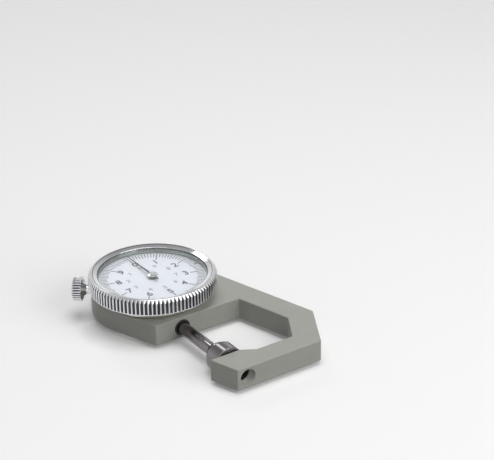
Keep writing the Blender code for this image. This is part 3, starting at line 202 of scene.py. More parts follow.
def noise(
    tree: Tree,
    size: float,
    detail: float = 3.0,
    squeeze: tuple[float, float, float] = (1.0, 1.0, 1.0),
) -> Socket:
    """Give a noise in object space.

    Args:
        tree: the material's tree.
        size: the width of one blotch in metres.
        detail: how many finer layers it holds.
        squeeze: how much the pattern is packed along each axis.

    Returns:
        The noise's socket, about zero to one.
    """
    place = add_node(tree, "ShaderNodeTexCoord").outputs["Object"]
    packed = add_node(tree, "ShaderNodeMapping", {"Vector": place, "Scale": squeeze})
    pattern = add_node(
        tree,
        "ShaderNodeTexNoise",
        {"Vector": packed.outputs[0], "Scale": 1 / size, "Detail": detail},
    )
    return pattern.outputs[0]


@dataclass(frozen=True)
class Enamel:
    """Stoved enamel on a casting: a soft sheen over a fine orange peel."""

    name: str = "stoved_grey_enamel"
    light: str = "#AEB0A8"
    dark: str = "#A4A69E"
    roughness: float = 0.42
    blotch: float = 4 * MM
    peel: float = 0.45 * MM
    peel_depth: float = 0.010 * MM

    def build(self) -> bpy.types.Material:
        """Make the material."""
        material, tree = blank_material(self.name)
        tint = blend_colours(tree, noise(tree, self.blotch), self.light, self.dark)
        peel = noise(tree, self.peel, 2)
        bump = add_node(
            tree,
            "ShaderNodeBump",
            {"Height": peel, "Distance": self.peel_depth, "Strength": 1.0},
        )
        shader = add_node(
            tree,
            "ShaderNodeBsdfPrincipled",
            {
                "Base Color": tint,
                "Roughness": spread(tree, peel, self.roughness - 0.06, self.roughness + 0.08),
                "IOR": 1.5,
                "Coat Weight": 0.15,
                "Coat Roughness": 0.25,
                "Normal": bump.outputs[0],
            },
        )
        add_node(tree, "ShaderNodeOutputMaterial", {"Surface": shader.outputs[0]})
        return material


class Lines(Enum):
    """How a surface's grain is packed along X, Y and Z, so that it runs in fine lines."""

    NONE = (1.0, 1.0, 1.0)
    ACROSS_Y = (1.0, 8.0, 1.0)


@dataclass(frozen=True)
class Metal:
    """A plated or machined metal: a clean mirror colour, dulled by fine lines and handling."""

    name: str
    light: str
    dark: str
    roughness: float
    lines: Lines = Lines.NONE
    grain: float = 0.25 * MM
    grain_depth: float = 0.0015 * MM
    smear: float = 6 * MM

    def build(self) -> bpy.types.Material:
        """Make the material."""
        material, tree = blank_material(self.name)
        smear = noise(tree, self.smear)
        grain = noise(tree, self.grain, 2, self.lines.value)
        bump = add_node(
            tree,
            "ShaderNodeBump",
            {"Height": grain, "Distance": self.grain_depth, "Strength": 1.0},
        )
        low, high = self.roughness * 0.8, self.roughness * 1.4
        shader = add_node(
            tree,
            "ShaderNodeBsdfPrincipled",
            {
                "Base Color": blend_colours(tree, smear, self.light, self.dark),
                "Metallic": 1.0,
                "Roughness": spread(tree, smear, low, high),
                "Normal": bump.outputs[0],
            },
        )
        add_node(tree, "ShaderNodeOutputMaterial", {"Surface": shader.outputs[0]})
        return material


@dataclass(frozen=True)
class Lacquer:
    """Lacquer or printing ink on the dial: an even, nearly matt film."""

    name: str
    light: str
    dark: str
    roughness: float
    blotch: float = 2 * MM
    grain: float = 0.12 * MM
    grain_depth: float = 0.001 * MM

    def build(self) -> bpy.types.Material:
        """Make the material."""
        material, tree = blank_material(self.name)
        tint = blend_colours(tree, noise(tree, self.blotch), self.light, self.dark)
        grain = noise(tree, self.grain, 1)
        bump = add_node(
            tree,
            "ShaderNodeBump",
            {"Height": grain, "Distance": self.grain_depth, "Strength": 1.0},
        )
        shader = add_node(
            tree,
            "ShaderNodeBsdfPrincipled",
            {
                "Base Color": tint,
                "Roughness": spread(tree, grain, self.roughness - 0.05, self.roughness + 0.05),
                "IOR": 1.5,
                "Normal": bump.outputs[0],
            },
        )
        add_node(tree, "ShaderNodeOutputMaterial", {"Surface": shader.outputs[0]})
        return material


@dataclass(frozen=True)
class Acrylic:
    """Clear acrylic of the crystal: glassy, with the faintest wipe marks."""

    name: str = "clear_acrylic"
    tint: str = "#FAFCFC"
    smear: float = 9 * MM

    def build(self) -> bpy.types.Material:
        """Make the material. Light passes straight through it, so that the dial stays bright."""
        material, tree = blank_material(self.name)
        smear = noise(tree, self.smear)
        glass = add_node(
            tree,
            "ShaderNodeBsdfPrincipled",
            {
                "Base Color": linear(self.tint),
                "Roughness": spread(tree, smear, 0.0, 0.03),
                "IOR": 1.49,
                "Transmission Weight": 1.0,
            },
        )
        clear = add_node(tree, "ShaderNodeBsdfTransparent", {"Color": linear(self.tint)})
        path = add_node(tree, "ShaderNodeLightPath")
        shader = add_node(
            tree,
            "ShaderNodeMixShader",
            {0: path.outputs["Is Shadow Ray"], 1: glass.outputs[0], 2: clear.outputs[0]},
        )
        add_node(tree, "ShaderNodeOutputMaterial", {"Surface": shader.outputs[0]})
        return material


class Finishes:
    """Every finish of the gauge, made once."""

    def __init__(self) -> None:
        """Build the materials."""
        self.enamel = Enamel().build()
        # Bright chrome plate over brass: near white, mirror-like, faint wipe marks.
        self.chrome = Metal("bright_chrome_plate", "#E4E5E6", "#D4D5D8", 0.09).build()
        # Hardened steel, ground and lapped: a grey mirror with fine lines round the rod.
        self.ground = Metal(
            "ground_hardened_steel", "#8A8788", "#6E6B6D", 0.16, Lines.ACROSS_Y
        ).build()
        # Chrome painted dark for the hollows of knurls and flutes: painted shade and painted dark
        # reflection down in them.
        self.grooves = Metal("chrome_painted_dark_for_hollow_shade", "#55565B", "#38393D", 0.32).build()
        # Steel, chemically blackened: a deep grey with a dull gleam.
        self.black = Metal("blackened_steel", "#3A3A3E", "#242428", 0.30).build()
        # Nickel ring painted dark and greenish behind the crystal: a painted reflection and shade of
        # the bezel's inner wall, dark against the white dial.
        self.ring = Metal("nickel_ring_with_painted_reflection", "#87918B", "#5C6762", 0.14).build()
        # Blackened steel bush: a dark grey with a soft gleam, its darkness partly painted shade of the
        # gap round the spindle.
        self.bush = Metal("black_bush_with_painted_gap_shade", "#4B494B", "#323133", 0.28).build()
        # Brass, turned and left bare: warm yellow with a soft gleam.
        self.brass = Metal("turned_brass", "#D9BE7C", "#C3A45E", 0.26).build()
        # Nickel plate with a satin face: a warm grey sheen.
        self.nickel = Metal("satin_nickel_plate", "#CFCCC6", "#BDB9B2", 0.28).build()
        # Matt white lacquer on a brass dial: very slightly cool.
        self.dial = Lacquer("white_dial_lacquer", "#D6D6DE", "#CDCDD6", 0.45).build()
        # Black pad-printing ink: even and nearly matt.
        self.ink = Lacquer("black_dial_ink", "#1C1C20", "#2A2A2E", 0.50).build()
        # Grey pad-printing ink of the second row of figures.
        self.pale_ink = Lacquer("grey_dial_ink", "#8A8A94", "#96969E", 0.50).build()
        self.acrylic = Acrylic().build()


def object_from(name: str, mesh: bpy.types.Mesh) -> bpy.types.Object:
    """Link a mesh to the scene as an object.

    Args:
        name: the piece's name.
        mesh: its mesh.

    Returns:
        The object.
    """
    piece = bpy.data.objects.new(name, mesh)
    bpy.context.scene.collection.objects.link(piece)
    return piece


def baked(piece: bpy.types.Object) -> bpy.types.Mesh:
    """Give the mesh that a piece's modifiers or its curve make, and remove the piece.

    Args:
        piece: the object to bake.

    Returns:
        The plain mesh.
    """
    graph = bpy.context.evaluated_depsgraph_get()
    mesh = bpy.data.meshes.new_from_object(piece.evaluated_get(graph))
    bpy.data.objects.remove(piece)
    return mesh


def close_up(mesh: bpy.types.Mesh) -> None:
    """Merge doubled points and turn the faces outwards."""
    work = bmesh.new()
    work.from_mesh(mesh)
    bmesh.ops.remove_doubles(work, verts=work.verts, dist=1e-7)
    bmesh.ops.dissolve_degenerate(work, edges=work.edges, dist=1e-7)
    bmesh.ops.recalc_face_normals(work, faces=work.faces)
    work.to_mesh(mesh)
    work.free()


def soften(mesh: bpy.types.Mesh, degrees: float = SHARP_DEGREES) -> None:
    """Shade a mesh smooth, with edges kept where its faces meet at more than an angle."""
    mesh.shade_smooth()
    mesh.set_sharp_from_angle(angle=math.radians(degrees))


def place_piece(
    name: str,
    mesh: bpy.types.Mesh,
    material: bpy.types.Material,
    body: str,
    stands_for: Iterable[str] = (),
) -> bpy.types.Object:
    """Finish a piece: its material, the body it rides on and the nodes it stands for.

    Args:
        name: the piece's name.
        mesh: its mesh, in place.
        material: its finish.
        body: the CAD body that carries it.
        stands_for: the CAD nodes that it replaces.

    Returns:
        The finished object.
    """
    mesh.materials.clear()
    mesh.materials.append(material)
    piece = object_from(name, mesh)
    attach(piece, body)
    nodes = tuple(stands_for)
    if nodes:
        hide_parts(*nodes)
    LOG.info("%s: %d faces on %s", name, len(mesh.polygons), body)
    return piece


def turned_mesh(profile: Profile, steps: int = 128) -> bpy.types.Mesh:
    """Turn a profile about Z.

    Args:
        profile: (radius, height) points. One that starts and ends on the axis makes a solid,
            and any other is closed on itself and makes a ring.
        steps: how many facets go round.

    Returns:
        The closed mesh.
    """
    work = bmesh.new()
    points = [work.verts.new((radius, 0, height)) for radius, height in profile]
    pairs = list(zip(points, points[1:]))
    if profile[0][0] > 0:
        pairs.append((points[-1], points[0]))
    edges = [work.edges.new(pair) for pair in pairs]
    bmesh.ops.spin(
        work,
        geom=points + edges,
        cent=(0, 0, 0),
        axis=(0, 0, 1),
        angle=2 * math.pi,
        steps=steps,
        use_merge=True,
    )
    mesh = bpy.data.meshes.new("turned")
    work.to_mesh(mesh)
    work.free()
    close_up(mesh)
    soften(mesh)
    return mesh


def rounded(profile: Profile, radii: dict[int, float], steps: int = 4) -> Profile:
    """Round corners of a profile.

    A point just outside each rounding holds the shading of the flat face beside it.

    Args:
        profile: (radius, height) points.
        radii: how far back from the corner each rounding starts, by the point's number.
        steps: how many points each rounding adds.

    Returns:
        The profile with its corners rounded.
    """
    hold = 1.15
    made: Profile = []
    count = len(profile)
    for index, point in enumerate(profile):
        reach = radii.get(index, 0.0)
        if not reach:
            made.append(point)
            continue
        corner = Vector(point)
        back = (Vector(profile[index - 1]) - corner).normalized() * reach
        ahead = (Vector(profile[(index + 1) % count]) - corner).normalized() * reach
        made.append(tuple(corner + back * hold))
        for step in range(steps + 1):
            share = step / steps
            made.append(tuple(corner + back * (1 - share) ** 2 + ahead * share**2))
        made.append(tuple(corner + ahead * hold))
    return made


def band(start: tuple[float, float], end: tuple[float, float], skin: float) -> bpy.types.Mesh:
    """Turn a thin skin that lies over a straight part of a profile.

    Args:
        start: (radius, height) where it starts.
        end: (radius, height) where it ends.
        skin: how far it stands out on both sides.

    Returns:
        The closed ring.
    """
    first, last = Vector(start), Vector(end)
    along = (last - first).normalized() * skin
    side = Vector((along.y, -along.x))
    corners = (first + side, last + side, last - side, first - side)
    return turned_mesh([tuple(corner) for corner in corners], 196)


def disc_box(node: str) -> tuple[float, float, float]:
    """Give a round node's lowest height, highest height and radius about the dial's axis."""
    low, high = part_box(node)
    return low.z, high.z, (high.x - low.x) / 2


def smooth_copy(node: str, degrees: float = SHARP_DEGREES) -> bpy.types.Mesh:
    """Copy a CAD node's mesh, merge it and shade it smooth.

    Args:
        node: the node's name.
        degrees: edges sharper than this stay sharp.

    Returns:
        The new mesh.
    """
    mesh = NODES[node].data.copy()
    work = bmesh.new()
    work.from_mesh(mesh)
    bmesh.ops.remove_doubles(work, verts=work.verts, dist=1e-6)
    bmesh.ops.dissolve_limit(
        work, angle_limit=math.radians(0.3), verts=work.verts, edges=work.edges
    )
    work.to_mesh(mesh)
    work.free()
    soften(mesh, degrees)
    return mesh


class Pattern(Enum):
    """The Geometry Nodes trees of the gauge."""

    RIBS = "ring_of_ribs"
    TICKS = "ring_of_ticks"
    SCREWS = "ring_of_screws"


def add_input(tree: Tree, name: str, kind: str) -> None:
    """Give a Geometry Nodes tree a named input."""
    tree.interface.new_socket(name, in_out="INPUT", socket_type=kind)


def start_tree(pattern: Pattern, *sizes: str) -> tuple[Tree, bpy.types.Node]:
    """Start a Geometry Nodes tree with a count, a ring's radius, its own sizes and a material.

    Args:
        pattern: which tree it is.
        sizes: the names of its own inputs.

    Returns:
        The tree and its Group Input node.
    """
    tree = bpy.data.node_groups.new(pattern.value, "GeometryNodeTree")
    add_input(tree, "Geometry", "NodeSocketGeometry")
    add_input(tree, "Count", "NodeSocketInt")
    for name in ("Ring Radius", *sizes):
        add_input(tree, name, "NodeSocketInt" if name == "Sides" else "NodeSocketFloat")
    add_input(tree, "Material", "NodeSocketMaterial")
    tree.interface.new_socket("Geometry", in_out="OUTPUT", socket_type="NodeSocketGeometry")
    return tree, add_node(tree, "NodeGroupInput")


def end_tree(tree: Tree, instances: Socket, material: Socket) -> Tree:
    """End a tree: realise its instances, set their material and hand them out.

    Args:
        tree: the tree.
        instances: what it made.
        material: the material's socket.

    Returns:
        The finished tree.
    """
    real = add_node(tree, "GeometryNodeRealizeInstances", {0: instances})
    dressed = add_node(
        tree, "GeometryNodeSetMaterial", {"Geometry": real.outputs[0], "Material": material}
    )
    add_node(tree, "NodeGroupOutput", {0: dressed.outputs[0]})
    return tree


def around_ring(tree: Tree, given: bpy.types.Node, shape: Socket, start: Socket | float) -> Socket:
    """Stand copies of a shape round the Z axis, each turned to face outwards along X.

    Args:
        tree: the tree.
        given: its Group Input, which has a Count and a Ring Radius.
        shape: what is copied.
        start: the first copy's angle.

    Returns:
        The instances.
    """
    count = given.outputs["Count"]
    index = add_node(tree, "GeometryNodeInputIndex").outputs[0]
    share = calc(tree, "DIVIDE", index, count)
    angle = calc(tree, "MULTIPLY_ADD", share, 2 * math.pi, start)
    way = vector(tree, calc(tree, "COSINE", angle), calc(tree, "SINE", angle))
    place = add_node(
        tree,
        "ShaderNodeVectorMath",
        {0: way, "Scale": given.outputs["Ring Radius"]},
        operation="SCALE",
    )
    points = add_node(tree, "GeometryNodePoints", {"Count": count, "Position": place.outputs[0]})
    copies = add_node(
        tree,
        "GeometryNodeInstanceOnPoints",
        {
            "Points": points.outputs[0],
            "Instance": shape,
            "Rotation": vector(tree, z=angle),
        },
    )
    return copies.outputs[0]


def rib_tree() -> Tree:
    """Build the tree that stands ribs round an axis.

    A rib is a bar with an oval or a four-sided section. Over its tip it flares sideways and
    leans inwards, so that ribs can meet in points on a sloped shoulder.
    """
    tree, given = start_tree(
        Pattern.RIBS,
        "Sides",
        "Half Width",
        "Half Depth",
        "Out",
        "Low",
        "High",
        "Tip",
        "Flare",
        "Lean",
    )
    low = given.outputs["Low"]
    span = calc(tree, "SUBTRACT", given.outputs["High"], low)
    half = calc(tree, "MULTIPLY", span, 0.5)
    middle = calc(tree, "ADD", low, half)
    bar = add_node(
        tree,
        "GeometryNodeMeshCylinder",
        {"Vertices": given.outputs["Sides"], "Side Segments": 2, "Radius": 1.0, "Depth": 1.0},
    )
    sizes = vector(tree, given.outputs["Half Depth"], given.outputs["Half Width"], span)
    shift = vector(tree, given.outputs["Out"], 0.0, middle)
    rib = add_node(
        tree,
        "GeometryNodeTransform",
        {"Geometry": bar.outputs[0], "Scale": sizes, "Translation": shift},
    )
    place = add_node(tree, "GeometryNodeInputPosition").outputs[0]
    along = add_node(tree, "ShaderNodeSeparateXYZ", {0: place})
    rise = calc(tree, "DIVIDE", calc(tree, "SUBTRACT", along.outputs[2], middle), half)
    top = calc(tree, "GREATER_THAN", rise, 0.5)
    between = calc(tree, "SUBTRACT", 1.0, calc(tree, "ABSOLUTE", rise))
    lift = calc(tree, "MULTIPLY", between, calc(tree, "SUBTRACT", half, given.outputs["Tip"]))
    inwards = calc(tree, "MULTIPLY", top, calc(tree, "MULTIPLY", given.outputs["Lean"], -1.0))
    flared = calc(tree, "MULTIPLY", along.outputs[1], given.outputs["Flare"])
    sideways = calc(tree, "MULTIPLY", top, flared)
    shaped = add_node(
        tree,
        "GeometryNodeSetPosition",
        {"Geometry": rib.outputs[0], "Offset": vector(tree, inwards, sideways, lift)},
    )
    copies = around_ring(tree, given, shaped.outputs[0], 0.0)
    return end_tree(tree, copies, given.outputs["Material"])


def tick_tree() -> Tree:
    """Build the tree that prints thin radial ticks on a ring."""
    tree, given = start_tree(Pattern.TICKS, "Length", "Width", "Film", "Height")
    length = given.outputs["Length"]
    size = vector(tree, length, given.outputs["Width"], given.outputs["Film"])
    bar = add_node(tree, "GeometryNodeMeshCube", {"Size": size})
    shift = vector(tree, calc(tree, "MULTIPLY", length, -0.5), 0.0, given.outputs["Height"])
    tick = add_node(
        tree, "GeometryNodeTransform", {"Geometry": bar.outputs[0], "Translation": shift}
    )
    copies = around_ring(tree, given, tick.outputs[0], math.pi / 2)
    return end_tree(tree, copies, given.outputs["Material"])


def screw_tree() -> Tree:
    """Build the tree that sets slotted screw heads on a ring, facing down."""
    tree, given = start_tree(
        Pattern.SCREWS,
        "Head Radius",
        "Head Height",
        "Edge",
        "Slot Width",
        "Slot Depth",
        "Low",
        "Start",
    )
    radius, edge = given.outputs["Head Radius"], given.outputs["Edge"]
    wall = calc(tree, "SUBTRACT", given.outputs["Head Height"], edge)
    crown = add_node(
        tree,
        "GeometryNodeMeshCone",
        {
            "Vertices": 40,
            "Radius Top": radius,
            "Radius Bottom": calc(tree, "SUBTRACT", radius, edge),
            "Depth": edge,
        },
    )
    shank = add_node(
        tree, "GeometryNodeMeshCylinder", {"Vertices": 40, "Radius": radius, "Depth": wall}
    )
    lift = vector(tree, 0.0, 0.0, calc(tree, "MULTIPLY_ADD", wall, 0.5, edge))
    body = add_node(
        tree, "GeometryNodeTransform", {"Geometry": shank.outputs[0], "Translation": lift}
    )
    head = add_node(tree, "GeometryNodeMeshBoolean", operation="UNION", solver="EXACT")
    tree.links.new(crown.outputs[0], head.inputs["Mesh 2"])
    tree.links.new(body.outputs[0], head.inputs["Mesh 2"])
    slot_size = vector(
        tree,
        calc(tree, "MULTIPLY", radius, 3.0),
        given.outputs["Slot Width"],
        calc(tree, "MULTIPLY", given.outputs["Slot Depth"], 2.0),
    )
    slot = add_node(tree, "GeometryNodeMeshCube", {"Size": slot_size})
    slotted = add_node(
        tree,
        "GeometryNodeMeshBoolean",
        {"Mesh 1": head.outputs[0]},
        operation="DIFFERENCE",
        solver="EXACT",
    )
    tree.links.new(slot.outputs[0], slotted.inputs["Mesh 2"])
    rise = vector(tree, 0.0, 0.0, given.outputs["Low"])
    screw = add_node(
        tree, "GeometryNodeTransform", {"Geometry": slotted.outputs[0], "Translation": rise}
    )
    copies = around_ring(tree, given, screw.outputs[0], given.outputs["Start"])
    return end_tree(tree, copies, given.outputs["Material"])


TREES: dict[Pattern, Tree] = {}
BUILDERS: dict[Pattern, Callable[[], Tree]] = {
    Pattern.RIBS: rib_tree,
    Pattern.TICKS: tick_tree,
    Pattern.SCREWS: screw_tree,
}


def grown(pattern: Pattern, values: dict[str, object]) -> bpy.types.Mesh:
    """Run a Geometry Nodes tree and keep its result as a plain mesh.

    Args:
        pattern: which tree.
        values: its inputs, by name.

    Returns:
        The mesh.
    """
    if pattern not in TREES:
        TREES[pattern] = BUILDERS[pattern]()
    tree = TREES[pattern]
    carrier = object_from(pattern.value, bpy.data.meshes.new(pattern.value))
    modifier = carrier.modifiers.new(pattern.value, "NODES")
    modifier.node_group = tree
    for item in tree.interface.items_tree:
        if item.in_out == "INPUT" and item.name in values:
            modifier[item.identifier] = values[item.name]
    mesh = baked(carrier)
    close_up(mesh)
    soften(mesh)
    return mesh


def joined(meshes: Iterable[bpy.types.Mesh]) -> bpy.types.Mesh:
    """Put several meshes into one.

    Args:
        meshes: what to join.

    Returns:
        One mesh that holds them all.
    """
    work = bmesh.new()
    for mesh in meshes:
        work.from_mesh(mesh)
    whole = bpy.data.meshes.new("joined")
    work.to_mesh(whole)
    work.free()
    soften(whole)
    return whole


@dataclass
class Casting:
    """The enamelled C-frame and what is fastened to its edges."""

    finishes: Finishes
    bush_edge: float = 0.00025
    bore_edge: float = 0.00015
    bore_gap: float = 0.0001
    face_share: float = 0.8
    step_back: float = 0.0018
    bevel: float = 0.00045
    bevel_edge: float = 0.00008

    def build(self) -> None:
        """Dress the casting, the lower bush and the anvil."""
        self.build_frame()
        self.build_bush()
        self.build_anvil()

    def build_frame(self) -> None:
        """Shade the casting smooth, with flat faces kept flat."""
        mesh = smooth_copy("frame", FRAME_SHARP_DEGREES)
        piece = object_from("casting_shape", mesh)
        flat = piece.modifiers.new("flat_faces", "WEIGHTED_NORMAL")
        flat.keep_sharp = True
        flat.weight = 100
        place_piece(
            "frame_casting",
            baked(piece),
            self.finishes.enamel,
            "gauge_frame",
            ["frame"],
        )

    def build_bush(self) -> None:
        """Turn the dark bush that the spindle leaves the frame through."""
        low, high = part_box("lower_bush")
        centre = (low + high) / 2
        radius = (high.x - low.x) / 2
        bore = (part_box("spindle")[1].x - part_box("spindle")[0].x) / 2 + self.bore_gap
        profile = rounded(
            [(radius, high.y), (radius, low.y), (bore, low.y), (bore, high.y)],
            {1: self.bush_edge, 2: self.bore_edge},
        )
        mesh = turned_mesh(profile, 96)
        mesh.transform(Matrix.Translation((0, 0, centre.z)) @ ALONG_Y)
        # The bush's dark grey is partly painted shade of the gap round the spindle.
        place_piece(
            "lower_bush_ring",
            mesh,
            self.finishes.bush,
            "gauge_frame",
            ["lower_bush"],
        )

    def build_anvil(self) -> None:
        """Turn the anvil with its bright bevels."""
        low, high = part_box("anvil")
        radius = (high.x - low.x) / 2
        face_radius = self.face_share * radius
        step = high.y - self.step_back
        bevel = self.bevel
        profile = rounded(
            [
                (0, high.y),
                (face_radius - bevel, high.y),
                (face_radius, high.y - bevel),
                (face_radius, step),
                (radius - bevel, step),
                (radius, step - bevel),
                (radius, low.y + bevel / 2),
                (radius - bevel / 2, low.y),
                (0, low.y),
            ],
            dict.fromkeys((1, 2, 4, 5), self.bevel_edge),
            2,
        )
        mesh = turned_mesh(profile, 128)
        mesh.transform(Matrix.Translation((0, 0, (low.z + high.z) / 2)) @ ALONG_Y)
        place_piece(
            "turned_anvil",
            mesh,
            self.finishes.ground,
            "gauge_frame",
            ["anvil"],
        )


@dataclass
class Spindle:
    """The sliding spindle with its contact and the knob that lifts it."""

    finishes: Finishes
    ribs: int = 24
    stub_radius: float = 0.0007
    contact_length: float = 0.0019
    bevel: float = 0.00035
    bevel_edge: float = 0.0001
    face_edge: float = 0.00006

    def build(self) -> None:
        """Dress the spindle, the contact and the knob."""
        mesh = smooth_copy("spindle")
        place_piece(
            "spindle_rod",
            mesh,
            self.finishes.ground,
            "measuring_spindle",
            ["spindle"],
        )
        self.build_contact()
        self.build_knob()

    def build_contact(self) -> None:
        """Turn the contact with a bevel at each end."""
        low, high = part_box("contact_tip")
        radius = (high.x - low.x) / 2
        end = low.y + self.contact_length
        bevel = self.bevel
        profile: Profile = [
            (0, high.y),
            (self.stub_radius, high.y),
            (self.stub_radius, end),
            (radius - bevel, end),
            (radius, end - bevel),
            (radius, low.y + bevel),
            (radius - bevel, low.y),
            (0, low.y),
        ]
        radii = {4: self.bevel_edge, 5: self.bevel_edge, 6: self.face_edge}
        mesh = turned_mesh(rounded(profile, radii, 3), 96)
        mesh.transform(Matrix.Translation((0, 0, (low.z + high.z) / 2)) @ ALONG_Y)
        place_piece(
            "contact",
            mesh,
            self.finishes.ground,
            "measuring_spindle",
            ["contact_tip"],
        )

    def build_knob(self) -> None:
        """Turn and knurl the lifting knob."""
        low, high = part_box("lift_knob")
        radius = (high.x - low.x) / 2
        knob = Knob(radius, self.ribs, low.y, high.y)
        stand = Matrix.Translation((0, 0, (low.z + high.z) / 2)) @ ALONG_Y
        knob.place("lifting_knob", self.finishes, stand, "measuring_spindle", "lift_knob")


@dataclass
class Knob:
    """A straight-knurled knob on Z: a bright core and ribs, with chrome painted dark between them as
    painted shade.
    """

    radius: float
    ribs: int
    low: float
    high: float
    depth: float = 0.00030
    chamfer: float = 0.0005
    edge: float = 0.0001
    dimple: float = 0.0009
    dimple_depth: float = 0.00015
    dimple_slope: float = 0.0002
    skin: float = 0.00002
    crest: float = 0.0002
    crest_share: float = 0.60
    flare: float = 0.4
    below_chamfer: float = 0.8
    into_chamfer: float = 0.4

    def core(self) -> bpy.types.Mesh:
        """Turn the knob's core, with a shallow dimple in its top."""
        wall = self.radius - self.depth
        inside = wall - self.chamfer
        floor = self.high - self.dimple_depth
        profile = [
            (0, floor),
            (self.dimple, floor),
            (self.dimple + self.dimple_slope, self.high),
            (inside, self.high),
            (wall, self.high - self.chamfer),
            (wall, self.low + self.chamfer),
            (inside, self.low),
            (0, self.low),
        ]
        return turned_mesh(rounded(profile, dict.fromkeys((3, 4, 5, 6), self.edge), 2), 96)

    def knurl(self, metal: bpy.types.Material) -> bpy.types.Mesh:
        """Stand the ribs round the core.

        Args:
            metal: the material of the ribs.

        Returns:
            The ribs' mesh.
        """
        wall = self.radius - self.depth
        return grown(
            Pattern.RIBS,
            {
                "Count": self.ribs,
                "Ring Radius": wall,
                "Sides": 12,
                "Half Width": math.pi * wall / self.ribs * self.crest_share,
                "Half Depth": self.crest,
                "Out": self.depth - self.crest,
                "Low": self.low + self.chamfer * self.below_chamfer,
                "High": self.high - self.chamfer * self.into_chamfer,
                "Tip": self.chamfer,
                "Flare": self.flare,
                "Lean": self.depth,
                "Material": metal,
            },
        )

    def sleeve(self) -> bpy.types.Mesh:
        """Turn the thin skin that shows between the ribs, painted dark as the shade in the knurl's
        hollows.
        """
        wall = self.radius - self.depth
        return band((wall, self.low + self.chamfer), (wall, self.high - self.chamfer), self.skin)

    def place(
        self, name: str, finishes: Finishes, stand: Matrix, body: str, node: str, *extra: bpy.types.Mesh
    ) -> None:
        """Put the knob in place.

        Args:
            name: the piece's name.
            finishes: the gauge's finishes.
            stand: where the knob's own axis stands.
            body: the body that it rides on.
            node: the CAD node that it stands for.
            extra: more bright shapes on the knob's axis.
        """
        bright = joined([self.core(), self.knurl(finishes.chrome), *extra])
        # The skin between the ribs carries the painted shade of the knurl's hollows.
        shade_pieces = self.sleeve()
        for mesh in (bright, shade_pieces):
            mesh.transform(stand)
        place_piece(name, bright, finishes.chrome, body, [node])
        place_piece(f"{name}_grooves", shade_pieces, finishes.grooves, body)


